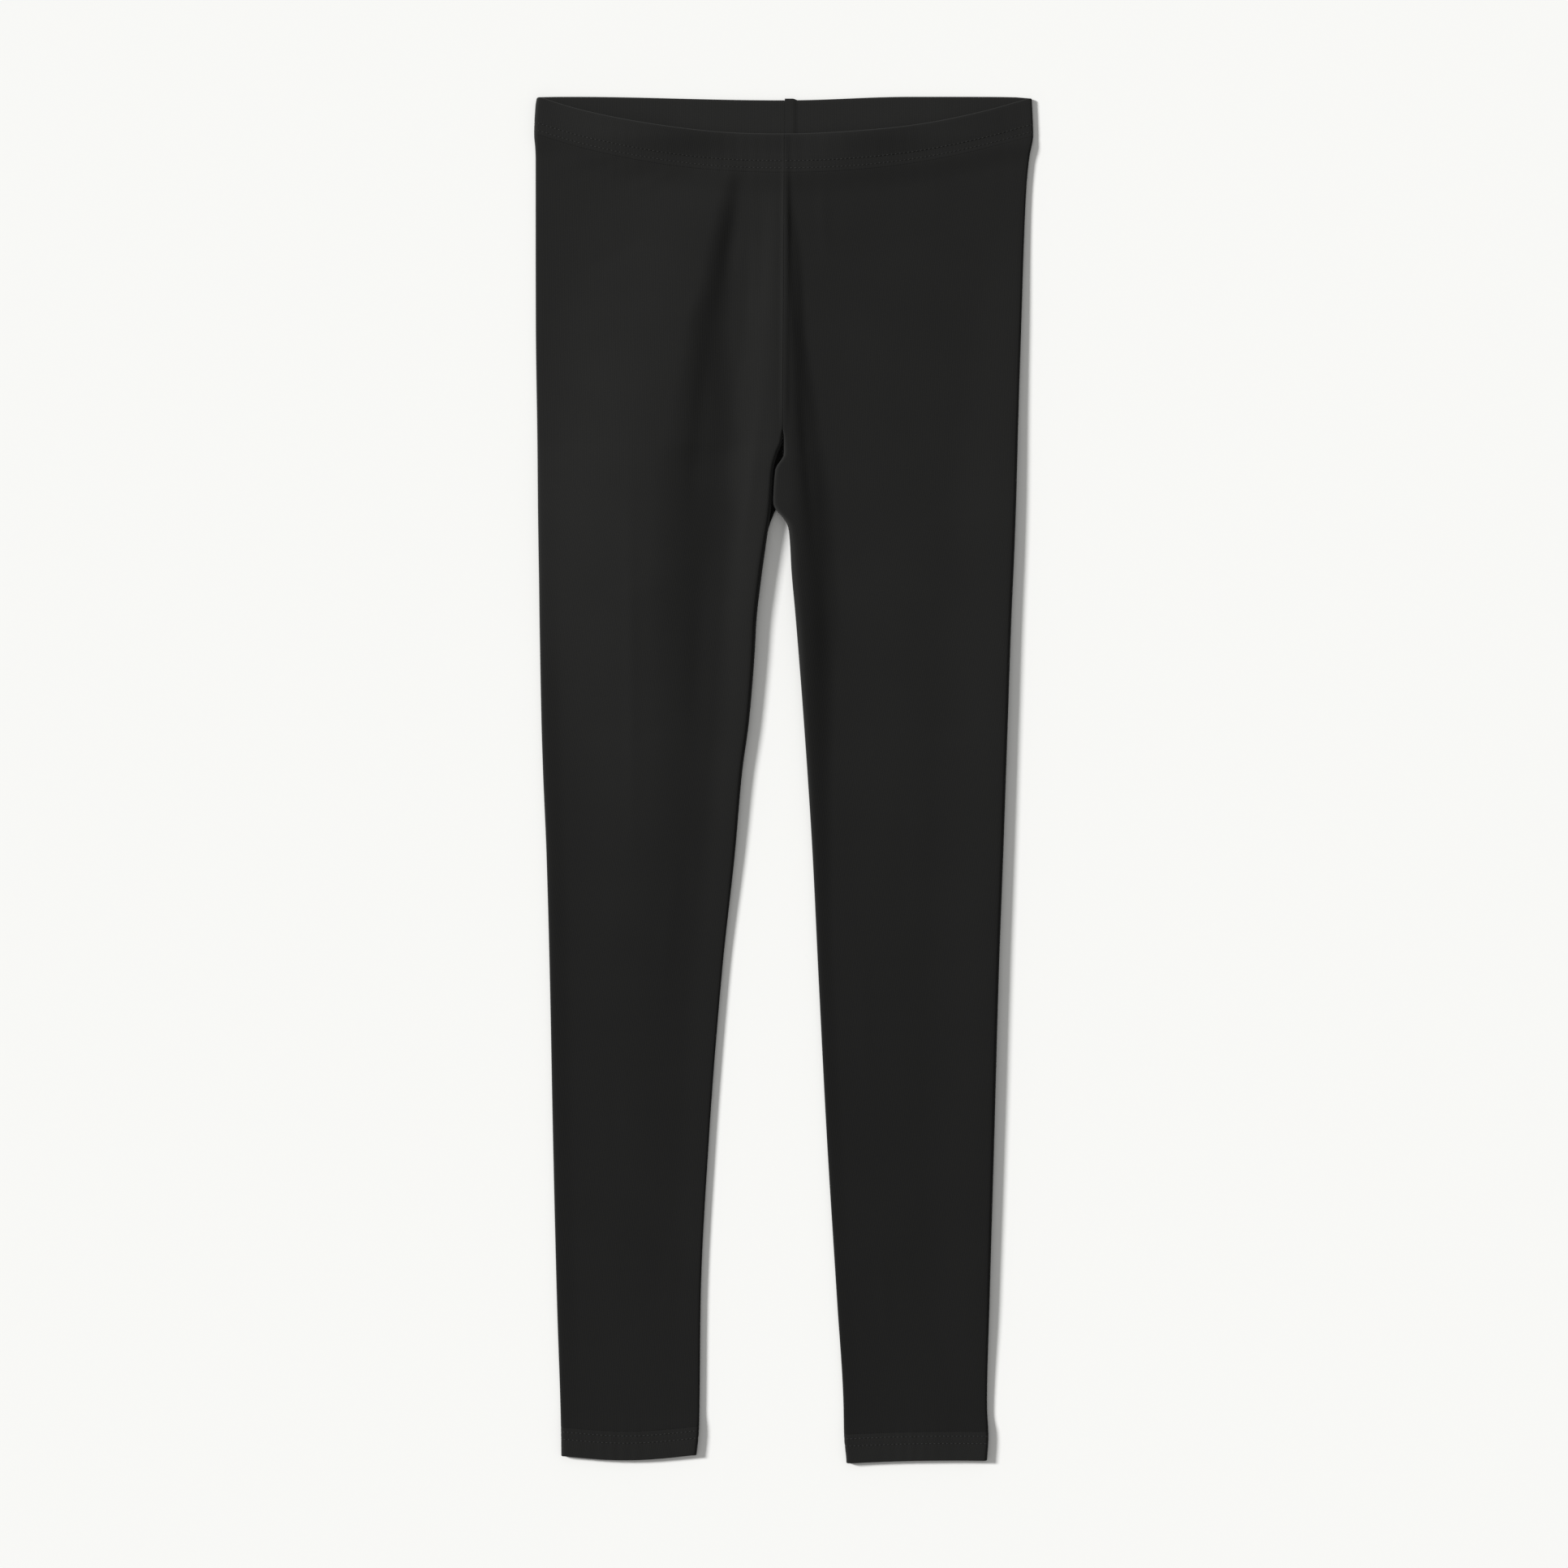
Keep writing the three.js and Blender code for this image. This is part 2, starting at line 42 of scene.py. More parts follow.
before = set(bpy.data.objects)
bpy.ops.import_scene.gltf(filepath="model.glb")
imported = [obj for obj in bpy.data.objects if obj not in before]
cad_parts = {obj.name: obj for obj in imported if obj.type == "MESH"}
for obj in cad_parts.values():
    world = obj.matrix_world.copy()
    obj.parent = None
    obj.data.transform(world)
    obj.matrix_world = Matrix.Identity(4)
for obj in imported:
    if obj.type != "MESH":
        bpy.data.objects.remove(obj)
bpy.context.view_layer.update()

MM = 0.001

# The form, in millimetres, as the solids have it.

LENGTH = 940.0
CASING_HEIGHT = 26.5
HEM_HEIGHT = 20.0
FRONT_DROP = 23.4
WAIST_SAG = 2.4
FRONT_SAG_WIDTH = 137.0
WAIST_HALF = 171.3
WAIST_CURVE = 2.6
WAIST_CORNER_POWER = 24  # how near to the side fold the waist's corner is rounded
WAIST_SHAPE_END = 165.0  # the curve of the waist has died away here
HEM_SHAPE_START = 820.0  # and the cut of the hems starts here
CROTCH_DOWN = 237.0
BACK_CROTCH_DOWN = 264.0
BACK_CROTCH_END = 300.0
CLOTH = 1.1
CASING_WALL = 2.2
HEM_WALL = 1.6
LAYER_AIR = 0.5
BAND_FADE = 14.0  # a band's thickness dies away over this much of the leg
CASING_RISE = 16.0  # the leg's face comes down from the casing's over this much
HEM_RISE = 12.0  # and up to the hem's over this much
SEAM_GAP = 0.3
SEWN_GAP = 0.06  # the solids' gap is closed where the cloth is sewn
SEAM_WELT = 0.55  # a little sharper than the solids' welt
SEAM_WELT_WIDTH = 2.6
WELT_GROWN = 70.0  # it has its full height here
WELT_FADE = 30.0  # and loses it over this much above the crotch
SEAM_ALLOWANCE = 2.0
CASING_WELT = 0.3
SEAM_START = 0.65
SEAM_LEAN = -1.4
BOW_FADE = 60.0


def table(columns, *rows):
    """A table as one array for each of its named columns."""
    return dict(zip(columns.split(), np.array(rows, float).T))


RIGHT_OUTLINE = table(
    "down outer inner",
    (0, 169.9, 0),
    (6, 170.8, 0),
    (26, 171.8, 0),
    (35, 171.1, 0),
    (42, 170.8, 0),
    (100, 170.8, 0),
    (156, 170.7, 0),
    (CROTCH_DOWN, 169.6, 0.95),
    (246, 169.5, 4.4),
    (257, 169.4, 7.1),
    (281, 169.2, 8.6),
    (310, 168.8, 12.5),
    (335, 168.4, 15.9),
    (360, 168.1, 18.7),
    (385, 167.7, 20.1),
    (430, 166.8, 23.9),
    (465, 165.7, 28.6),
    (519, 163.4, 33.4),
    (603, 161.1, 42.5),
    (715, 158.9, 51.3),
    (827, 156.2, 57.1),
    (916, 153.4, 58.2),
    (LENGTH, 153.1, 60.2),
)
LEFT_OUTLINE = table(
    "down outer inner",
    (0, 170.6, 0),
    (12, 171.1, 0),
    (26, 171.6, 0),
    (42, 168.9, 0),
    (61, 167.0, 0),
    (100, 165.2, 0),
    (156, 163.4, 0),
    (CROTCH_DOWN, 160.9, -0.6),
    (246, 160.7, -0.3),
    (257, 160.4, -6.5),
    (279, 159.8, -8.0),
    (296, 159.2, 3.0),
    (310, 158.7, 4.3),
    (324, 158.1, 5.0),
    (357, 156.6, 7.9),
    (435, 153.9, 14.0),
    (519, 151.0, 19.5),
    (603, 147.9, 23.6),
    (715, 144.8, 29.4),
    (827, 141.6, 36.4),
    (900, 139.8, 40.9),
    (922, 140.8, 41.3),
    (LENGTH, 139.8, 42.9),
)

FOLD_COLUMNS = "down from_inner height inward outward"
RIGHT_FOLDS = (
    table(
        FOLD_COLUMNS,
        (50, 4, 0, 40, 14),
        (83, 4, 1.0, 40, 16),
        (128, 5, 2.4, 40, 20),
        (156, 5, 2.9, 40, 24),
        (184, 5, 3.5, 40, 28),
        (212, 4, 4.0, 40, 33),
        (240, 3, 4.1, 40, 34),
        (268, 2, 3.9, 40, 31),
        (296, 2, 2.6, 40, 26),
        (357, 1, 2.0, 40, 26),
        (492, 0, 1.4, 40, 24),
        (604, 0, 0.7, 40, 24),
        (916, 0, 0.3, 40, 20),
    ),
    table(
        FOLD_COLUMNS,
        (38, 38, 0, 14, 80),
        (61, 43, 1.6, 16, 90),
        (83, 48.5, 3.2, 20, 95),
        (106, 54, 3.9, 22, 95),
        (134, 60, 4.7, 26, 95),
        (156, 68, 6.0, 33, 98),
        (179, 71, 6.4, 37, 100),
        (212, 77, 7.1, 47, 104),
        (257, 83, 7.6, 58, 108),
        (324, 79, 7.8, 61, 104),
        (357, 76, 6.6, 59, 92),
        (390, 71, 4.9, 55, 78),
        (435, 65, 3.6, 52, 62),
        (492, 60, 2.5, 46, 56),
        (604, 55, 1.2, 42, 50),
        (760, 48, 0.5, 36, 40),
        (916, 46, 0, 34, 38),
    ),
    table(
        FOLD_COLUMNS,
        (200, 0, 0, 40, 150),
        (240, 0, 0.6, 40, 150),
        (268, 0, 1.3, 40, 150),
        (296, 0, 1.9, 40, 150),
        (324, 0, 2.1, 40, 150),
        (357, 0, 1.9, 40, 150),
        (408, 0, 1.5, 40, 150),
        (492, 0, 0.8, 40, 150),
        (604, 0, 0, 40, 150),
    ),
)
LEFT_FOLDS = (
    table(
        FOLD_COLUMNS,
        (50, 0, 0, 60, 6),
        (83, 1.0, 1.2, 60, 8),
        (106, 2.6, 2.0, 60, 10),
        (156, 4.0, 2.9, 60, 12),
        (184, 4.0, 3.6, 60, 16),
        (212, 4.0, 4.2, 60, 21),
        (CROTCH_DOWN, 4.0, 4.6, 60, 24),
        (246, 4.0, 5.0, 60, 26),
        (257, 10.3, 5.4, 60, 28),
        (279, 13.0, 5.6, 60, 30),
        (296, 3.0, 5.6, 60, 30),
        (357, 2.4, 5.6, 60, 28),
        (408, 1.4, 3.9, 60, 23),
        (492, 0.3, 2.1, 60, 16),
        (604, 0, 0.9, 60, 12),
        (916, 0, 0.2, 60, 12),
    ),
    table(
        FOLD_COLUMNS,
        (60, 90, 0, 50, 50),
        (200, 90, 0.8, 55, 60),
        (435, 75, 0.8, 50, 50),
        (715, 60, 0.3, 40, 45),
    ),
)
RIGHT_SIDE_ROLL = table(
    "down height width",
    (60, 0.1, 15),
    (160, 0.1, 15),
    (320, 0.3, 15),
    (435, 0.9, 15),
    (603, 0.8, 15),
    (827, 0.5, 15),
    (916, 0.2, 15),
)
LEFT_SIDE_ROLL = table(
    "down height width",
    (60, 0.1, 20),
    (160, 1.2, 36),
    (320, 2.4, 52),
    (603, 2.6, 52),
    (827, 1.9, 44),
    (916, 0.4, 24),
)
CASING_BOWS = table("across height to_right to_left", (-90, 3.8, 76, 62), (45, 3.0, 45, 62))

# The finer form, for the eye. A crease runs from one point of a layer to another and dies away at
# both ends. A ridge has a positive height and a trough a negative one.

CREASE_COLUMNS = "down across to_down to_across width height"
CREASE_FADE = 1.5
RIGHT_FRONT_CREASES = table(
    CREASE_COLUMNS,
    (205, 106, 560, 104, 9, 0.28),
    (48, 30, 150, 44, 9, -0.35),
    (150, 52, 300, 63, 12, -0.4),
    (60, 18, 170, 22, 7, 0.3),
    (180, 12, 330, 30, 8, 0.3),
    (300, 55, 470, 62, 14, -0.35),
    (40, 96, 58, 160, 9, -0.25),
    (46, 66, 70, 112, 8, 0.2),
    (96, 92, 128, 150, 12, -0.18),
    (330, 70, 350, 130, 12, 0.15),
    (420, 60, 452, 120, 14, -0.15),
    (500, 72, 640, 86, 12, 0.16),
    (640, 120, 760, 112, 14, -0.15),
    (770, 74, 850, 80, 10, 0.12),
    (842, 96, 862, 136, 9, -0.12),
)
LEFT_FRONT_CREASES = table(
    CREASE_COLUMNS,
    (60, 4, 190, 9, 5, -0.35),
    (170, 9, 330, 22, 7, -0.4),
    (44, 24, 120, 30, 8, 0.2),
    (40, 84, 60, 150, 10, -0.22),
    (70, 70, 104, 130, 12, 0.15),
    (210, 60, 250, 118, 13, -0.16),
    (330, 46, 372, 100, 13, 0.15),
    (300, 30, 420, 40, 9, 0.2),
    (450, 84, 600, 80, 15, -0.16),
    (560, 50, 700, 58, 12, 0.14),
    (655, 100, 690, 132, 12, -0.12),
    (780, 66, 870, 72, 10, 0.12),
    (846, 92, 866, 128, 9, -0.12),
)
BACK_CREASES = table(
    CREASE_COLUMNS,
    (60, 20, 190, 60, 14, 0.32),
    (120, 30, 240, 96, 16, 0.28),
    (210, 16, 330, 52, 12, 0.34),
    (250, 40, 400, 88, 15, 0.26),
    (380, 60, 410, 130, 13, 0.22),
    (470, 50, 640, 92, 16, 0.2),
    (600, 110, 760, 96, 14, 0.2),
    (740, 64, 860, 84, 12, 0.18),
)

# "waist_corner" rounds off the waist edge at the side fold, "side_press" is the share of the
# casing's thickness that is pressed out of it there, and "allowance" is how much of the centre
# seam's allowance lies under the front's edge. The tones go from the third to the fourth between
# the first two, which are distances along the cloth in metres. On the legs they are painted shade,
# darker towards the hems. On the casing the inside is the jersey's lighter reverse side, and the
# face is darker as painted shade.
RIGHT_LEG = {
    "word": "right",
    "side": -1,
    "waist_corner": 0.3,
    "side_press": 0.0,
    "back_sag_width": 150.0,
    "allowance": 0.0,
    "outline": RIGHT_OUTLINE,
    "folds": RIGHT_FOLDS,
    "side_roll": RIGHT_SIDE_ROLL,
    "creases": RIGHT_FRONT_CREASES,
    "hem": {"inner": 934.5, "outer": 935.2, "bow": 3.1},
    "leg_painted_shade": (0.28, 0.66, 1.0, 0.65),
    "casing_tones_and_painted_shade": (0.0262, 0.028, 0.93, 1.03),
}
LEFT_LEG = {
    "word": "left",
    "side": 1,
    "waist_corner": 1.1,
    "side_press": 0.5,
    "back_sag_width": 88.0,
    "allowance": SEAM_ALLOWANCE,
    "outline": LEFT_OUTLINE,
    "folds": LEFT_FOLDS,
    "side_roll": LEFT_SIDE_ROLL,
    "creases": LEFT_FRONT_CREASES,
    "hem": {"inner": 940.0, "outer": 938.2, "bow": -0.8},
    "leg_painted_shade": (0.3, 0.76, 1.0, 0.68),
    "casing_tones_and_painted_shade": (0.0262, 0.028, 0.85, 1.0),
}
LEGS = (RIGHT_LEG, LEFT_LEG)

# Puckers: the elastic and the coverstitching draw the cloth into small waves beside them.
PUCKER_STEP = 9.5
PUCKER_HEIGHT = 0.05
CASING_PUCKER_REACH = 16.0
HEM_PUCKER_REACH = 6.4
PUCKER_WANDER = 2.6  # the waves' places drift to and fro by this turn,
PUCKER_WANDER_LENGTH = 17.0  # over this length,
PUCKER_UNEVEN_LENGTH = 13.0  # and their heights over this one


def along(rows, column, down):
    """A column at any distance down the garment, on a curve that never overshoots a row."""
    at = rows["down"]
    value = rows[column]
    slope = np.diff(value) / np.diff(at)
    tangent = np.zeros_like(value)
    before, after = slope[:-1], slope[1:]
    same_way = before * after > 0
    total = np.where(same_way, before + after, 1.0)
    tangent[1:-1] = np.where(same_way, 2 * before * after / total, 0.0)
    i = np.clip(np.searchsorted(at, down, side="right") - 1, 0, len(at) - 2)
    span = at[i + 1] - at[i]
    t = np.clip((down - at[i]) / span, 0, 1)
    bend = t * t * (3 - 2 * t)
    start = (t - 2 * t**2 + t**3) * span * tangent[i]
    end = (t**3 - t**2) * span * tangent[i + 1]
    return value[i] * (1 - bend) + value[i + 1] * bend + start + end


def smooth(low, high, at):
    """A smooth step from 0 at low to 1 at high."""
    t = np.clip((at - low) / (high - low), 0, 1)
    return t * t * (3 - 2 * t)


def ridge(distance, width):
    """A round-topped ridge: 1 on its crest and 0 one width away."""
    return 0.5 + 0.5 * np.cos(np.pi * np.clip(np.abs(distance) / width, 0, 1))


def seam_across(leg, down):
    """The centre seam's distance from the centre line, on the leg's own side."""
    across = SEAM_START + SEAM_LEAN * np.clip(down / CROTCH_DOWN, 0, 1)
    return leg["side"] * across + SEWN_GAP / 2


def inner_edge(leg, down):
    """The leg's inner edge: the centre seam above the crotch and the inseam below it."""
    below = along(leg["outline"], "inner", down)
    return np.where(down <= CROTCH_DOWN, seam_across(leg, down), below)


def back_edge(leg, down):
    """The back's inner edge, which stays on the centre seam for longer than the front's."""
    seam = seam_across(leg, np.minimum(down, CROTCH_DOWN))
    apart = smooth(BACK_CROTCH_DOWN, BACK_CROTCH_END, down)
    return seam + (inner_edge(leg, down) - seam) * np.where(down <= CROTCH_DOWN, 0, apart)


def outer_edge(leg, down):
    """The leg's outer fold."""
    return along(leg["outline"], "outer", down)


def shift(leg, across, share, is_front, down):
    """How far a level is moved down by the curve of the waist and the cut of the hem."""
    part = np.minimum(1, np.abs(across) / WAIST_HALF)
    drop = FRONT_DROP * (1 - part**WAIST_CURVE) if is_front else 0
    sag = WAIST_SAG * ridge(across, FRONT_SAG_WIDTH if is_front else leg["back_sag_width"])
    waist = sag + leg["waist_corner"] * part**WAIST_CORNER_POWER + drop
    hem = leg["hem"]
    corners = hem["inner"] + (hem["outer"] - hem["inner"]) * share - LENGTH
    bow = hem["bow"] * np.sin(np.pi * share)
    low = smooth(HEM_SHAPE_START, LENGTH - HEM_HEIGHT, down)
    return waist * (1 - smooth(CASING_HEIGHT, WAIST_SHAPE_END, down)) + (corners + bow) * low


def crease_height(creases, across, down):
    """The sum of a layer's creases at a point."""
    height = 0 * across
    for from_down, from_across, to_down, to_across, width, rise in zip(*creases.values()):
        run_down = to_down - from_down
        run_across = to_across - from_across
        run = np.hypot(run_down, run_across)
        ahead = ((down - from_down) * run_down + (across - from_across) * run_across) / run
        beside = ((down - from_down) * run_across - (across - from_across) * run_down) / run
        fade = np.sin(np.pi * np.clip(ahead / run, 0, 1)) ** CREASE_FADE
        height = height + rise * fade * np.exp(-((beside / (0.5 * width)) ** 2))
    return height


def puckers(leg, across, down):
    """Small waves under the casing and above the hem."""
    under_casing = np.exp(-np.maximum(0, down - CASING_HEIGHT - FRONT_DROP) / CASING_PUCKER_REACH)
    above_hem = np.exp(-np.maximum(0, LENGTH - HEM_HEIGHT - down) / HEM_PUCKER_REACH)
    drift = PUCKER_WANDER * np.sin(across / PUCKER_WANDER_LENGTH + leg["side"])
    wave = np.sin(2 * np.pi * across / PUCKER_STEP + drift)
    uneven = 0.6 + 0.4 * np.sin(across / PUCKER_UNEVEN_LENGTH + leg["side"])
    return PUCKER_HEIGHT * wave * uneven * np.maximum(under_casing, above_hem)


SIDE_PRESS_WIDTH = 60.0  # the casing is pressed flatter over this much beside its side fold


def near_casing(down):
    """1 on the casing, and 0 where its thickness has died away below it."""
    return 1 - smooth(CASING_HEIGHT, CASING_HEIGHT + BAND_FADE, down)


def kept_thickness(leg, across, down):
    """The share of its thickness that the waist keeps where its side fold is pressed flat."""
    by_side = ridge(outer_edge(leg, down) - across, SIDE_PRESS_WIDTH)
    return 1 - leg["side_press"] * by_side * near_casing(down)


def front_face(leg, across, down, wall, rise):
    """How high the outside of the front layer lies above the surface."""
    inner = inner_edge(leg, down)
    near_hem = smooth(LENGTH - HEM_HEIGHT - BAND_FADE, LENGTH - HEM_HEIGHT, down)
    back = CLOTH + (CASING_WALL - CLOTH) * near_casing(down) + (HEM_WALL - CLOTH) * near_hem
    height = back + LAYER_AIR
    for rows in leg["folds"]:
        distance = across - inner - along(rows, "from_inner", down)
        inward = along(rows, "inward", down)
        outward = along(rows, "outward", down)
        width = np.where(distance < 0, inward, outward)
        height = height + along(rows, "height", down) * ridge(distance, width)
    side_roll = leg["side_roll"]
    roll = ridge(outer_edge(leg, down) - across, along(side_roll, "width", down))
    height = height + along(side_roll, "height", down) * roll
    for at, bow, to_right, to_left in zip(*CASING_BOWS.values()):
        fade = 1 - smooth(CASING_HEIGHT, BOW_FADE, down)
        distance = leg["side"] * across - at
        width = np.where(distance < 0, to_right, to_left)
        height = height + bow * ridge(distance, width) * fade
    from_seam = np.maximum(0, across - seam_across(leg, down) - leg["allowance"])
    grow = CASING_WELT + (1 - CASING_WELT) * smooth(CASING_HEIGHT, WELT_GROWN, down)
    welt = grow * (1 - smooth(CROTCH_DOWN - WELT_FADE, CROTCH_DOWN, down))
    height = height + SEAM_WELT * welt * ridge(from_seam, SEAM_WELT_WIDTH)
    fine = crease_height(leg["creases"], across, down) + puckers(leg, across, down)
    return (height + wall + rise) * kept_thickness(leg, across, down) + fine


# Stations round a leg, from the centre back seam or inseam, along the back, round the side fold
# and back along the front. Edge stations turn in towards the inseam below the crotch.
EDGE_TURNS = (0.1, 0.25, 0.4, 0.55, 0.7, 0.82, 0.92, 1.0)
SIDE_TURNS = (-70, -50, -30, -10, 10, 30, 50, 70)
EDGE_TURN_START = CROTCH_DOWN - 9
EDGE_STRIP = 1.0  # the edge stations take up this much of the cloth above the crotch
EDGE_SAMPLE = 2.0  # a folded edge is as high as the face is this far in from it
SIDE_EASE = 0.3  # and the side fold reaches this much further than half its height
TIGHT_EDGE = 0.5  # the inner fold's width for its height beside the crotch's opening
TIGHT_EDGE_END = 262.0
WIDE_EDGE = 1.15  # and further down
WIDE_EDGE_START = 330.0
INSEAM_GAP = 0.04
GROOVE_DEPTH = 0.12
GROOVE_WIDTH = 0.35
BACK_CREASE_TOP = 70.0  # the back's creases have their full height between these levels
BACK_CREASE_LOW = 860.0
BACK_CREASE_END = 910.0  # and have died away here,
BACK_CREASE_INNER = 12.0  # and fade out towards the back's inner edge over this much
BACK_CREASE_OUTER = 20.0  # and towards the side fold over this much


def shares(count, power):
    """Shares from 0 to 1, closer together towards 0."""
    return np.linspace(0, 1, count) ** power


FRONT_SHARES = shares(74, 1.25)
BACK_SHARES = shares(24, 1.1)


def unit(across, up):
    """A direction at its unit length."""
    size = np.hypot(across, up)
    return across / size, up / size


def column(leg, kind, share, level, wall, rise):
    """One station at all levels: its place across, down and up, and the direction out there."""
    is_front = kind in ("front", "front_edge")
    level = np.asarray(level, float)
    apart = smooth(BACK_CROTCH_DOWN, BACK_CROTCH_END, level)
    turn = (np.pi / 2) * (smooth(EDGE_TURN_START, CROTCH_DOWN, level) if is_front else apart)

    def place(at_share, front):
        inner = inner_edge(leg, level)
        across = inner + at_share * (outer_edge(leg, level) - inner)
        down = level + shift(leg, across, at_share, front, level)
        edge = inner_edge(leg, down) if front else back_edge(leg, down)
        return down, edge, outer_edge(leg, down)

    side_down, _, side_outer = place(1.0, True)
    side_radius = front_face(leg, side_outer - EDGE_SAMPLE, side_down, wall, rise) / 2
    side_reach = side_radius + SIDE_EASE
    edge_down, edge_inner, _ = place(0.0, True)
    edge_radius = front_face(leg, edge_inner + EDGE_SAMPLE, edge_down, wall, rise) / 2
    widened = smooth(TIGHT_EDGE_END, WIDE_EDGE_START, level)
    edge_width = edge_radius * (TIGHT_EDGE + (WIDE_EDGE - TIGHT_EDGE) * widened)
    edge_reach = edge_width * np.sin(turn)
    zero = 0 * level

    if kind == "side":
        angle = math.radians(share)
        across = side_outer - side_reach + side_reach * math.cos(angle)
        height = side_radius * (1 + math.sin(angle))
        return across, side_down, height, *unit(
            side_radius * math.cos(angle), side_reach * math.sin(angle)
        )
    down, inner, outer = place(0.0 if kind.endswith("edge") else share, is_front)
    if kind.endswith("edge"):
        # Below the centre front seam the front's edge turns down, at first on to the longer back
        # and then, where the back has come in to it, to the inseam half way up.
        angle = turn * share
        flat_part = EDGE_STRIP * (1 - share) * (1 - np.sin(turn))
        across = inner + edge_reach + flat_part - edge_width * np.sin(angle)
        up = 1 if is_front else -1
        half_way = edge_radius - INSEAM_GAP / 2
        to_back = 2 * edge_radius - CLOTH
        depth = to_back + (half_way - to_back) * apart if is_front else half_way
        top = front_face(leg, across, down, wall, rise) if is_front else zero
        top = top * (1 - np.sin(turn)) + (2 * edge_radius if is_front else 0) * np.sin(turn)
        height = top - up * depth * (1 - np.cos(angle))
        out_across, out_up = unit(-depth * np.sin(angle), up * edge_width * np.cos(angle))
        turned = (edge_radius * np.pi / 2 - EDGE_STRIP) * np.sin(turn)
        from_edge = (1 - share) * (EDGE_STRIP + turned)
        groove = GROOVE_DEPTH * np.exp(-((from_edge / GROOVE_WIDTH) ** 2))
        if not is_front:
            groove = groove * np.sin(turn)
        across = across - out_across * groove
        height = height - out_up * groove
        return across, down, height, out_across, out_up
    start = inner + edge_reach + EDGE_STRIP
    across = start + share * (outer - side_reach - start)
    if is_front:
        height = front_face(leg, across, down, wall, rise)
        return across, down, height, zero, zero + 1
    height = crease_height(BACK_CREASES, across, down)
    height = height * smooth(CASING_HEIGHT, BACK_CREASE_TOP, down)
    height = height * (1 - smooth(BACK_CREASE_LOW, BACK_CREASE_END, down))
    height = height * smooth(0, BACK_CREASE_INNER, across - start)
    height = height * smooth(0, BACK_CREASE_OUTER, outer - across)
    return across, down, height, zero, zero - 1


# A band has closer stations by the centre back seam, where the seam's allowance lies in it.
CLOSE_SHARE = 0.066
BAND_BACK_SHARES = np.concatenate(
    [np.linspace(0, CLOSE_SHARE, 15), CLOSE_SHARE + (1 - CLOSE_SHARE) * shares(20, 1.1)[1:]]
)


def stations_round(back_shares):
    """Every station, in order round the leg."""
    stations = [("back_edge", share) for share in reversed(EDGE_TURNS)]
    stations += [("back", share) for share in back_shares]
    stations += [("side", turn) for turn in SIDE_TURNS]
    stations += [("front", share) for share in reversed(FRONT_SHARES)]
    stations += [("front_edge", share) for share in EDGE_TURNS]
    return stations


def face_points(leg, levels, wall, rise, depth, back_shares=BACK_SHARES):
    """The cloth's face as an array of levels by stations, set in by a depth for each level."""
    columns = []
    for kind, share in stations_round(back_shares):
        across, down, height, out_across, out_up = column(leg, kind, share, levels, wall, rise)
        inwards = depth * kept_thickness(leg, across, down)
        across = across - out_across * inwards
        height = height - out_up * inwards
        columns.append(np.stack([leg["side"] * across, LENGTH / 2 - down, height], axis=-1))
    return np.stack(columns, axis=1)


def cloth_object(name, points, length_down, thickness, material, leg):
    """A sheet through the points, with a UV map in metres, made a thin wall inwards."""
    rows, stations, _ = points.shape
    step = np.linalg.norm(np.diff(points, axis=1), axis=2)
    around = np.concatenate([np.zeros((rows, 1)), np.cumsum(step, axis=1)], axis=1)
    faces = []
    for r in range(rows - 1):
        for i in range(stations - 1):
            here = r * stations + i
            face = (here, here + 1, here + stations + 1, here + stations)
            faces.append(face if leg["side"] > 0 else face[::-1])
    mesh = bpy.data.meshes.new(name)
    mesh.from_pydata((points.reshape(-1, 3) * MM).tolist(), [], faces)
    uv = np.stack([around, np.broadcast_to(length_down[:, None], around.shape)], axis=-1)
    uv = uv.reshape(-1, 2) * MM
    corners = np.empty(len(mesh.loops), dtype=np.int64)
    mesh.loops.foreach_get("vertex_index", corners)
    layer = mesh.uv_layers.new(name="Cloth")
    layer.data.foreach_set("uv", uv[corners].ravel())
    mesh.materials.append(material)
    piece = bpy.data.objects.new(name, mesh)
    bpy.context.scene.collection.objects.link(piece)
    select_only(piece)
    wall = piece.modifiers.new("Cloth", "SOLIDIFY")
    wall.thickness = thickness
    wall.offset = -1
    bpy.ops.object.modifier_apply(modifier=wall.name)
    bpy.ops.object.shade_smooth_by_angle(angle=math.radians(50))
    return piece


def select_only(piece):
    """Selects one piece and makes it active."""
    bpy.ops.object.select_all(action="DESELECT")
    piece.select_set(True)
    bpy.context.view_layer.objects.active = piece


SHELL_GAP = 0.05  # between the shell's cloth and the line of a band's seam
NEAR_SEAM = np.array([0, 0.25, 0.6, 1.1, 1.8, 2.8, 4, 5.5, 7.2])
EVEN_FROM = 9.0  # levels are evenly spaced from this far inside a panel's ends
EVEN_LEVELS = 286
SEAM_SINK = 0.08  # how far the cloth is drawn in at the casing's and the hem's seams
SEAM_TURN = 0.6  # and over what length


def leg_levels():
    """Levels down a leg's panel, closer together at both ends."""
    start = CASING_HEIGHT + SHELL_GAP
    end = LENGTH - HEM_HEIGHT - SHELL_GAP
    middle = np.linspace(start + EVEN_FROM, end - EVEN_FROM, EVEN_LEVELS)
    return np.concatenate([start + NEAR_SEAM, middle, (end - NEAR_SEAM)[::-1]])


def sewn_in(levels, seam):
    """How far the face turns in beside a seam."""
    return SEAM_SINK * np.exp(-np.abs(levels - seam) / SEAM_TURN)


# The centre back seam's allowance is pressed towards the left inside the casing. It thickens the
# casing there, and its end lifts the rolled top edge.
ALLOWANCE_START = (-0.2, 0.5)  # across, from the centre line, where it begins
ALLOWANCE_END = (6.0, 9.8)  # and where it ends
ALLOWANCE_LIFT = 1.1
ALLOWANCE_LIFT_REACH = 3.5
ALLOWANCE_HEIGHT = 0.45


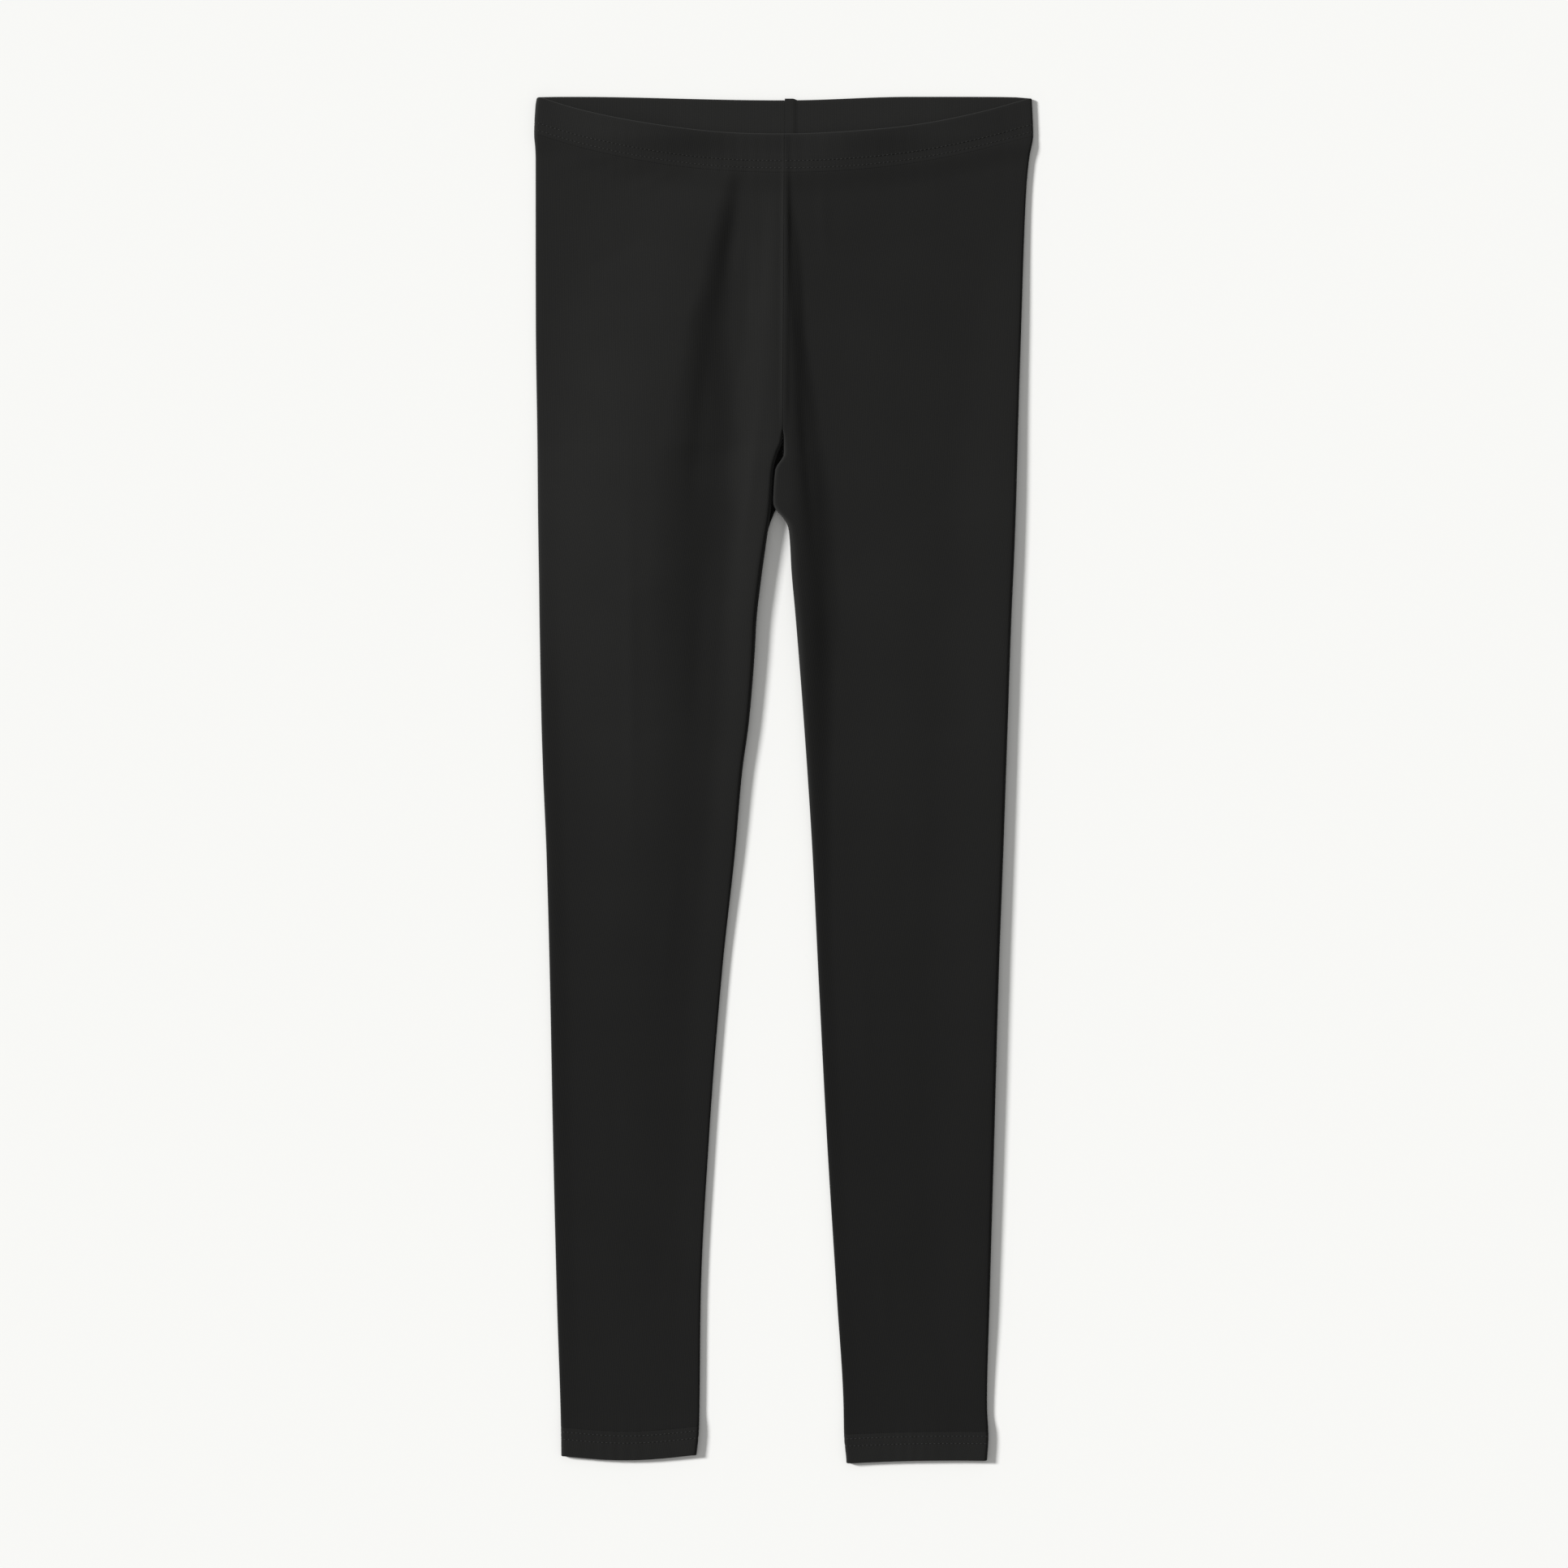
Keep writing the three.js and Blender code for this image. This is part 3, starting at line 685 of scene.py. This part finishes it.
def add_allowance(points, levels, depth):
    """Lifts the back of the left casing over the allowance."""
    x = points[:, :, 0]
    on_back = np.arange(points.shape[1]) < len(EDGE_TURNS) + len(BAND_BACK_SHARES)
    beside = smooth(*ALLOWANCE_START, x) * (1 - smooth(*ALLOWANCE_END, x)) * on_back
    near_top = np.exp(-((levels / ALLOWANCE_LIFT_REACH) ** 2))[:, None]
    inside = (depth > CASING_WALL * 0.6)[:, None]
    points[:, :, 1] += ALLOWANCE_LIFT * beside * near_top
    points[:, :, 2] += ALLOWANCE_HEIGHT * beside * inside
    return points


# Two rows of needle stitches draw the face in a little.
NEEDLE_ROWS = (3.0, 8.0)  # from the band's seam
NEEDLE_SINK = 0.16
NEEDLE_SPREAD = 0.9


def folded_band(leg, name, start, end, edge_at_top, wall, thickness, material):
    """A doubled band: the cloth's face, rolled over the band's free edge and down its inside."""
    radius = wall / 2
    turns = np.radians(np.linspace(0, 180, 9))[1:-1]
    run = end - start - radius
    flat = np.concatenate([NEAR_SEAM[:4], np.linspace(2.0, run, 13)])
    if edge_at_top:
        outside = end - SHELL_GAP - flat
        rolled = start + radius * (1 - np.sin(turns))
    else:
        outside = start + SHELL_GAP + flat
        rolled = end - radius * (1 - np.sin(turns))
    levels = np.concatenate([outside, rolled, outside[::-1]])
    depth = np.concatenate([0 * flat, radius * (1 - np.cos(turns)), 0 * flat + wall])
    seam_end = end if edge_at_top else start
    on_face = depth < radius
    depth = depth + sewn_in(levels, seam_end) * on_face
    for row in NEEDLE_ROWS:
        at = seam_end - row if edge_at_top else seam_end + row
        depth = depth + NEEDLE_SINK * np.exp(-(((levels - at) / NEEDLE_SPREAD) ** 2)) * on_face
    points = face_points(leg, levels, wall, 0, depth, BAND_BACK_SHARES)
    if edge_at_top and leg["side"] > 0:
        points = add_allowance(points, levels, depth)
    run_down = np.concatenate([[0], np.cumsum(np.hypot(np.diff(levels), np.diff(depth)))])
    if edge_at_top:
        points = points[::-1]
        run_down = run_down[::-1]
    return cloth_object(name, points, run_down, thickness, material, leg)


# Sewing. A coverstitch shows two rows of straight needle stitches on the face. Each stitch is a
# row of rings: its place along the stitch, and its lift and size as shares of the thread's radius.

CLEAR_STATIONS = 3  # a needle row stops this many stations short of the centre seams
STITCH_SIDES = 6
STITCH_RINGS = (
    (0.0, -1.6, 0.6),
    (0.16, -0.2, 1.0),
    (0.5, 0.15, 1.0),
    (0.84, -0.2, 1.0),
    (1.0, -1.6, 0.6),
)
LOOK_AHEAD = 0.2  # a ring faces the point this far along the path


def row_path(leg, level, wall):
    """The line of a needle row round one half of a band: points on the face and ways out."""
    points = []
    outs = []
    for kind, share in stations_round(BACK_SHARES)[CLEAR_STATIONS:-CLEAR_STATIONS]:
        values = column(leg, kind, share, np.array([level]), wall, 0)
        across, down, height, out_across, out_up = (float(value[0]) for value in values)
        points.append((leg["side"] * across, LENGTH / 2 - down, height))
        outs.append((leg["side"] * out_across, 0.0, out_up))
    return np.array(points), np.array(outs)


def stitch_row(points, outs, length, gap, radius):
    """Straight stitches along a path, each a thread that rises from the cloth and dives back."""
    step = np.linalg.norm(np.diff(points, axis=0), axis=1)
    at = np.concatenate([[0], np.cumsum(step)])
    count = int(at[-1] / (length + gap))
    vertices = []
    faces = []

    def on_path(values, where):
        return np.array([np.interp(where, at, values[:, axis]) for axis in range(3)])

    for n in range(count):
        start = n * (length + gap) + gap / 2
        first = len(vertices)
        for along_share, lift, fat in STITCH_RINGS:
            where = start + along_share * length
            centre = on_path(points, where)
            ahead = on_path(points, where + LOOK_AHEAD)
            out = on_path(outs, where)
            out /= np.linalg.norm(out)
            forward = ahead - centre
            forward /= max(1e-9, np.linalg.norm(forward))
            beside = np.cross(forward, out)
            for s in range(STITCH_SIDES):
                angle = 2 * math.pi * s / STITCH_SIDES
                spoke = math.cos(angle) * beside + math.sin(angle) * out
                point = centre + out * lift * radius + spoke * radius * fat
                point[2] = max(point[2], 0.0)
                vertices.append(point)
        for ring in range(len(STITCH_RINGS) - 1):
            for s in range(STITCH_SIDES):
                a = first + ring * STITCH_SIDES + s
                b = first + ring * STITCH_SIDES + (s + 1) % STITCH_SIDES
                faces.append((a, b, b + STITCH_SIDES, a + STITCH_SIDES))
        last = first + (len(STITCH_RINGS) - 1) * STITCH_SIDES
        faces.append(tuple(range(first + STITCH_SIDES - 1, first - 1, -1)))
        faces.append(tuple(range(last, last + STITCH_SIDES)))
    return vertices, faces


def stitches_object(name, rows, radius, length, gap, material):
    """All the stitches of some rows as one mesh."""
    vertices = []
    faces = []
    for points, outs in rows:
        new, joined = stitch_row(points, outs, length, gap, radius)
        faces += [tuple(i + len(vertices) for i in face) for face in joined]
        vertices += new
    mesh = bpy.data.meshes.new(name)
    mesh.from_pydata([tuple(v * MM) for v in vertices], [], faces)
    mesh.materials.append(material)
    piece = bpy.data.objects.new(name, mesh)
    bpy.context.scene.collection.objects.link(piece)
    select_only(piece)
    bpy.ops.object.mode_set(mode="EDIT")
    bpy.ops.mesh.select_all(action="SELECT")
    bpy.ops.mesh.normals_make_consistent(inside=False)
    bpy.ops.object.mode_set(mode="OBJECT")
    bpy.ops.object.shade_smooth_by_angle(angle=math.radians(60))
    return piece


# Materials.


def linear(hex_colour):
    """An sRGB hex colour as linear red, green and blue."""
    values = [int(hex_colour[i : i + 2], 16) / 255 for i in (1, 3, 5)]
    return tuple(v / 12.92 if v <= 0.04045 else ((v + 0.055) / 1.055) ** 2.4 for v in values)


def add(tree, kind, settings=None, links=None):
    """A node with its settings, inputs and links: a key that names an input sets its value."""
    node = tree.nodes.new(kind)
    for key, value in (settings or {}).items():
        if isinstance(key, int) or key in node.inputs:
            node.inputs[key].default_value = value
        else:
            setattr(node, key, value)
    for socket, source in (links or {}).items():
        tree.links.new(source, node.inputs[socket])
    return node


def new_material(name):
    """An empty node material with its output."""
    material = bpy.data.materials.new(name)
    material.use_nodes = True
    material.node_tree.nodes.clear()
    output = add(material.node_tree, "ShaderNodeOutputMaterial")
    return material, material.node_tree, output


WALE_SPACING = 1.3  # about three times as coarse as this jersey's wales, to show in a render
FIBRE_SIZE = 0.7
FACE_RELIEF = 0.1  # the depth of the wales and fibres
PATCH_SIZE = 60.0  # faint patches of lighter and darker dye
TWIST_SIZE = 0.3  # of the sewing thread
TWIST_RELIEF = 0.05


def jersey_material(name, colour, tones=(0.0, 1.0, 1.0, 1.0)):
    """Cotton and elastane single jersey, piece-dyed black. Fine upright wales and a matt, slightly
    hairy face, which gives a soft even black with a faint lift where it turns from the eye.

    The shade goes from one tone to another between two distances along the cloth, in metres."""
    material, tree, output = new_material(name)
    uv = add(tree, "ShaderNodeUVMap", {"uv_map": "Cloth"})
    turn = 1 / (WALE_SPACING * MM)
    wales = add(
        tree,
        "ShaderNodeTexWave",
        {
            "wave_type": "BANDS",
            "bands_direction": "X",
            "Scale": turn / math.pi,
            "Distortion": 0.6,
        },
        {"Vector": uv.outputs["UV"]},
    )
    fibres = add(
        tree,
        "ShaderNodeTexNoise",
        {"Scale": 1 / (FIBRE_SIZE * MM), "Detail": 3.0, "Roughness": 0.6},
        {"Vector": uv.outputs["UV"]},
    )
    patches = add(
        tree,
        "ShaderNodeTexNoise",
        {"Scale": 1 / (PATCH_SIZE * MM), "Detail": 3.0, "Roughness": 0.5},
        {"Vector": uv.outputs["UV"]},
    )
    patch_tone = add(
        tree,
        "ShaderNodeMapRange",
        {"From Min": 0.3, "From Max": 0.7, "To Min": 0.94, "To Max": 1.06},
        {"Value": patches.outputs["Fac"]},
    )
    fibre_tone = add(
        tree,
        "ShaderNodeMapRange",
        {"From Min": 0.3, "From Max": 0.7, "To Min": 0.9, "To Max": 1.1},
        {"Value": fibres.outputs["Fac"]},
    )
    tone = add(
        tree,
        "ShaderNodeMath",
        {"operation": "MULTIPLY"},
        {0: patch_tone.outputs["Result"], 1: fibre_tone.outputs["Result"]},
    )
    # Tone ramp along the cloth: painted shade on the legs, darker towards the hems; on the casing a
    # lighter inside and a face darkened as painted shade.
    place = add(tree, "ShaderNodeSeparateXYZ", None, {"Vector": uv.outputs["UV"]})
    first, last, first_tone, last_tone = tones
    tone_and_painted_shade_along = add(
        tree,
        "ShaderNodeMapRange",
        {
            "interpolation_type": "SMOOTHSTEP",
            "From Min": first,
            "From Max": last,
            "To Min": first_tone,
            "To Max": last_tone,
        },
        {"Value": place.outputs["Y"]},
    )
    tone = add(
        tree,
        "ShaderNodeMath",
        {"operation": "MULTIPLY"},
        {0: tone.outputs["Value"], 1: tone_and_painted_shade_along.outputs["Result"]},
    )
    tint = add(
        tree,
        "ShaderNodeVectorMath",
        {"operation": "SCALE", "Vector": colour},
        {"Scale": tone.outputs["Value"]},
    )
    height = add(
        tree,
        "ShaderNodeMath",
        {"operation": "MULTIPLY_ADD", 1: 0.6},
        {0: wales.outputs["Fac"], 2: fibres.outputs["Fac"]},
    )
    bump = add(
        tree,
        "ShaderNodeBump",
        {"Strength": 0.35, "Distance": FACE_RELIEF * MM},
        {"Height": height.outputs["Value"]},
    )
    cloth = add(
        tree,
        "ShaderNodeBsdfPrincipled",
        {
            "Roughness": 0.9,
            "Specular IOR Level": 0.12,
            "Sheen Weight": 0.06,
            "Sheen Roughness": 0.6,
        },
        {"Base Color": tint.outputs["Vector"], "Normal": bump.outputs["Normal"]},
    )
    tree.links.new(cloth.outputs["BSDF"], output.inputs["Surface"])
    return material


def thread_material(name, colour):
    """Spun polyester sewing thread, twisted, a little glossier than the cloth."""
    material, tree, output = new_material(name)
    where = add(tree, "ShaderNodeTexCoord")
    twist = add(
        tree,
        "ShaderNodeTexNoise",
        {"Scale": 1 / (TWIST_SIZE * MM), "Detail": 2.0},
        {"Vector": where.outputs["Object"]},
    )
    tint = add(
        tree,
        "ShaderNodeVectorMath",
        {"operation": "SCALE", "Vector": colour},
        {"Scale": twist.outputs["Fac"]},
    )
    bump = add(
        tree,
        "ShaderNodeBump",
        {"Strength": 0.4, "Distance": TWIST_RELIEF * MM},
        {"Height": twist.outputs["Fac"]},
    )
    thread = add(
        tree,
        "ShaderNodeBsdfPrincipled",
        {"Roughness": 0.6, "Specular IOR Level": 0.3},
        {"Base Color": tint.outputs["Vector"], "Normal": bump.outputs["Normal"]},
    )
    tree.links.new(thread.outputs["BSDF"], output.inputs["Surface"])
    return material


def floor_material(name, colour):
    """Matt white studio board."""
    material, tree, output = new_material(name)
    board = add(
        tree,
        "ShaderNodeBsdfPrincipled",
        {"Base Color": (*colour, 1.0), "Roughness": 0.95, "Specular IOR Level": 0.1},
    )
    tree.links.new(board.outputs["BSDF"], output.inputs["Surface"])
    return material


def material_once(name, make, colour, *settings):
    """The named material, made the first time that it is asked for."""
    return bpy.data.materials.get(name) or make(name, tuple(colour), *settings)


def colour_property(name, description, hex_colour):
    """A colour that a user can change."""
    return bpy.props.FloatVectorProperty(
        name=name, description=description, default=linear(hex_colour), subtype="COLOR", min=0, max=1
    )


def length_property(name, description, metres):
    """A length that a user can change."""
    return bpy.props.FloatProperty(
        name=name, description=description, default=metres, subtype="DISTANCE", unit="LENGTH", min=0
    )


def angle_property(name, description, degrees):
    """An angle that a user can change."""
    return bpy.props.FloatProperty(
        name=name, description=description, default=math.radians(degrees), subtype="ANGLE"
    )


class LeggingsSizes(bpy.types.PropertyGroup):
    """Sizes of the cloth and the sewing."""

    cloth: length_property("Cloth", "Thickness of one layer of jersey", 0.8 * MM)
    doubled: length_property("Doubled cloth", "Thickness of the cloth where it is turned over", 0.7 * MM)
    stitch: length_property("Stitch", "Length of a needle stitch on the face", 2.3 * MM)
    stitch_gap: length_property("Stitch gap", "Gap between two stitches of a row", 0.6 * MM)
    thread: length_property("Thread", "Radius of the sewing thread", 0.2 * MM)


class LeggingsColours(bpy.types.PropertyGroup):
    """Colours of the cloth, the thread and the floor."""

    right: colour_property("Right jersey", "The right leg", "#191918")
    # The left leg's colour is a shade darker than the right's as painted shade, not as a darker dye.
    left: colour_property("Left jersey", "The left leg, which has taken a little more dye", "#161615")
    casing: colour_property("Casing", "The waist casing", "#1c1c1b")
    hem: colour_property("Hem", "The turned-up hems", "#181817")
    thread: colour_property("Thread", "The sewing thread", "#2e2e2d")
    floor: colour_property("Floor", "The board that they lie on", "#f7f7f5")


class LeggingsStudio(bpy.types.PropertyGroup):
    """Camera and light."""

    camera_height: length_property("Camera height", "Camera above the surface", 2.5485)
    lens: bpy.props.FloatProperty(name="Lens", description="Focal length", default=85, unit="CAMERA")
    key: bpy.props.FloatProperty(
        name="Key", description="Strength of the low light from the wearer's right", default=5.02
    )
    key_rise: angle_property("Key rise", "Angle of the key above the surface", 24.5)
    key_turn: angle_property("Key turn", "Turn of the key towards the waist", 19)
    key_soft: angle_property("Key softness", "Angle that the key covers", 10)
    around: bpy.props.FloatProperty(
        name="Surround", description="Light from all round", default=0.35
    )


def declare(piece, node):
    """Rides the piece on the one body, in its node's place, and hides the node's solid."""
    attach(piece, "root")
    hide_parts(node)


class LEGGINGS_OT_legs(bpy.types.Operator):
    """Makes the two leg panels, each from the centre back seam round to the centre front seam"""

    bl_idname = "leggings.legs"
    bl_label = "Leg panels"

    def execute(self, context):
        sizes = context.scene.leggings_sizes
        colours = context.scene.leggings_colours
        levels = leg_levels()
        start = CASING_HEIGHT + SEAM_GAP
        end = LENGTH - HEM_HEIGHT - SEAM_GAP
        rise = (CASING_WALL - CLOTH) * (1 - smooth(start, start + CASING_RISE, levels))
        rise = rise + (HEM_WALL - CLOTH) * smooth(end - HEM_RISE, end, levels)
        depth = sewn_in(levels, levels[0]) + sewn_in(levels, levels[-1])
        for leg in LEGS:
            points = face_points(leg, levels, CLOTH, rise, depth)
            word = leg["word"]
            colour = getattr(colours, word)
            # The legs' material is darkened towards the hems as painted shade.
            material = material_once(
                f"leg_black_jersey_{word}", jersey_material, colour, leg["leg_painted_shade"]
            )
            piece = cloth_object(f"leg_cloth_{word}", points, levels, sizes.cloth, material, leg)
            declare(piece, f"leg_{word}")
        return {"FINISHED"}


class LEGGINGS_OT_casing(bpy.types.Operator):
    """Makes the two halves of the waist casing, folded over its elastic"""

    bl_idname = "leggings.casing"
    bl_label = "Waist casing"

    def execute(self, context):
        sizes = context.scene.leggings_sizes
        colours = context.scene.leggings_colours
        for leg in LEGS:
            word = leg["word"]
            # The casing's material is lighter on the inside, as the jersey's reverse side, and darkened
            # on the face as painted shade.
            material = material_once(
                f"casing_black_jersey_{word}", jersey_material, colours.casing, leg["casing_tones_and_painted_shade"]
            )
            name = f"casing_cloth_{word}"
            piece = folded_band(
                leg, name, 0, CASING_HEIGHT, True, CASING_WALL, sizes.doubled, material
            )
            declare(piece, f"waist_casing_{word}")
        return {"FINISHED"}


class LEGGINGS_OT_hems(bpy.types.Operator):
    """Makes the two ankle hems, turned up to the inside"""

    bl_idname = "leggings.hems"
    bl_label = "Ankle hems"

    def execute(self, context):
        sizes = context.scene.leggings_sizes
        colours = context.scene.leggings_colours
        material = material_once("hem_black_jersey", jersey_material, colours.hem)
        for leg in LEGS:
            word = leg["word"]
            name = f"hem_cloth_{word}"
            start = LENGTH - HEM_HEIGHT
            piece = folded_band(leg, name, start, LENGTH, False, HEM_WALL, sizes.doubled, material)
            declare(piece, f"hem_{word}")
        return {"FINISHED"}


class LEGGINGS_OT_sewing(bpy.types.Operator):
    """Sews the coverstitch rows under the casing and above the hems"""

    bl_idname = "leggings.sewing"
    bl_label = "Coverstitching"

    def execute(self, context):
        sizes = context.scene.leggings_sizes
        colours = context.scene.leggings_colours
        material = material_once("sewing_thread", thread_material, colours.thread)
        radius = sizes.thread / MM
        length = sizes.stitch / MM
        gap = sizes.stitch_gap / MM
        for leg in LEGS:
            word = leg["word"]
            waist = [row_path(leg, CASING_HEIGHT - row, CASING_WALL) for row in NEEDLE_ROWS]
            ankle = [row_path(leg, LENGTH - HEM_HEIGHT + row, HEM_WALL) for row in NEEDLE_ROWS]
            for name, rows, slot in (
                (f"waist_coverstitch_{word}", waist, "casing"),
                (f"hem_coverstitch_{word}", ankle, "hem"),
            ):
                piece = stitches_object(name, rows, radius, length, gap, material)
                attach(piece, "root")
        return {"FINISHED"}


FLOOR_SIZE = 30.0
FLOOR_DROP = 0.1 * MM  # under the cloth, so that the two don't share a surface
SUN_PLACE = (-2, 0.5, 1)
SURROUND_COLOUR = (1, 1, 0.99, 1)
# The photo is taken from straight above, its middle a little below the garment's.
CAMERA_ACROSS = 0.1 * MM
CAMERA_DOWN = 2.85 * MM
SENSOR_WIDTH = 36


class LEGGINGS_OT_studio(bpy.types.Operator):
    """Sets up the floor, the light and the camera"""

    bl_idname = "leggings.studio"
    bl_label = "Studio"

    def execute(self, context):
        scene = context.scene
        studio = scene.leggings_studio
        bpy.ops.object.select_all(action="DESELECT")
        bpy.ops.mesh.primitive_plane_add(size=FLOOR_SIZE, location=(0, 0, -FLOOR_DROP))
        floor = context.object
        floor.name = "floor"
        floor.data.materials.append(
            material_once("white_board", floor_material, scene.leggings_colours.floor)
        )

        bpy.ops.object.light_add(type="SUN", location=SUN_PLACE)
        key = context.object
        key.name = "key"
        key.data.energy = studio.key
        key.data.angle = studio.key_soft
        key.rotation_euler = (0, -(math.pi / 2 - studio.key_rise), -studio.key_turn)

        world = bpy.data.worlds.new("surround")
        world.use_nodes = True
        background = world.node_tree.nodes["Background"]
        background.inputs["Color"].default_value = SURROUND_COLOUR
        background.inputs["Strength"].default_value = studio.around
        scene.world = world
        scene.view_settings.view_transform = "Standard"

        place = (CAMERA_ACROSS, -CAMERA_DOWN, studio.camera_height)
        bpy.ops.object.camera_add(location=place, rotation=(0, 0, 0))
        camera = context.object
        camera.name = "camera"
        camera.data.lens = studio.lens
        camera.data.sensor_width = SENSOR_WIDTH
        scene.camera = camera
        return {"FINISHED"}


class LEGGINGS_PT_panel(bpy.types.Panel):
    """Lists what builds the leggings, and their sizes and colours"""

    bl_idname = "LEGGINGS_PT_panel"
    bl_label = "Leggings"
    bl_space_type = "VIEW_3D"
    bl_region_type = "UI"
    bl_category = "Leggings"

    def draw(self, context):
        layout = self.layout
        scene = context.scene
        for group in (scene.leggings_sizes, scene.leggings_colours, scene.leggings_studio):
            box = layout.box()
            for name in type(group).__annotations__:
                box.prop(group, name)
        for operator in OPERATORS:
            layout.operator(operator.bl_idname)


OPERATORS = (
    LEGGINGS_OT_legs,
    LEGGINGS_OT_casing,
    LEGGINGS_OT_hems,
    LEGGINGS_OT_sewing,
    LEGGINGS_OT_studio,
)
GROUPS = {
    "leggings_sizes": LeggingsSizes,
    "leggings_colours": LeggingsColours,
    "leggings_studio": LeggingsStudio,
}


def register():
    for group in GROUPS.values():
        bpy.utils.register_class(group)
    for name, group in GROUPS.items():
        setattr(bpy.types.Scene, name, bpy.props.PointerProperty(type=group))
    for operator in OPERATORS:
        bpy.utils.register_class(operator)
    bpy.utils.register_class(LEGGINGS_PT_panel)


def unregister():
    bpy.utils.unregister_class(LEGGINGS_PT_panel)
    for operator in reversed(OPERATORS):
        bpy.utils.unregister_class(operator)
    for name, group in reversed(GROUPS.items()):
        delattr(bpy.types.Scene, name)
        bpy.utils.unregister_class(group)


def main():
    register()
    bpy.ops.leggings.legs()
    bpy.ops.leggings.casing()
    bpy.ops.leggings.hems()
    bpy.ops.leggings.sewing()
    bpy.ops.leggings.studio()


if __name__ == "__main__":
    main()
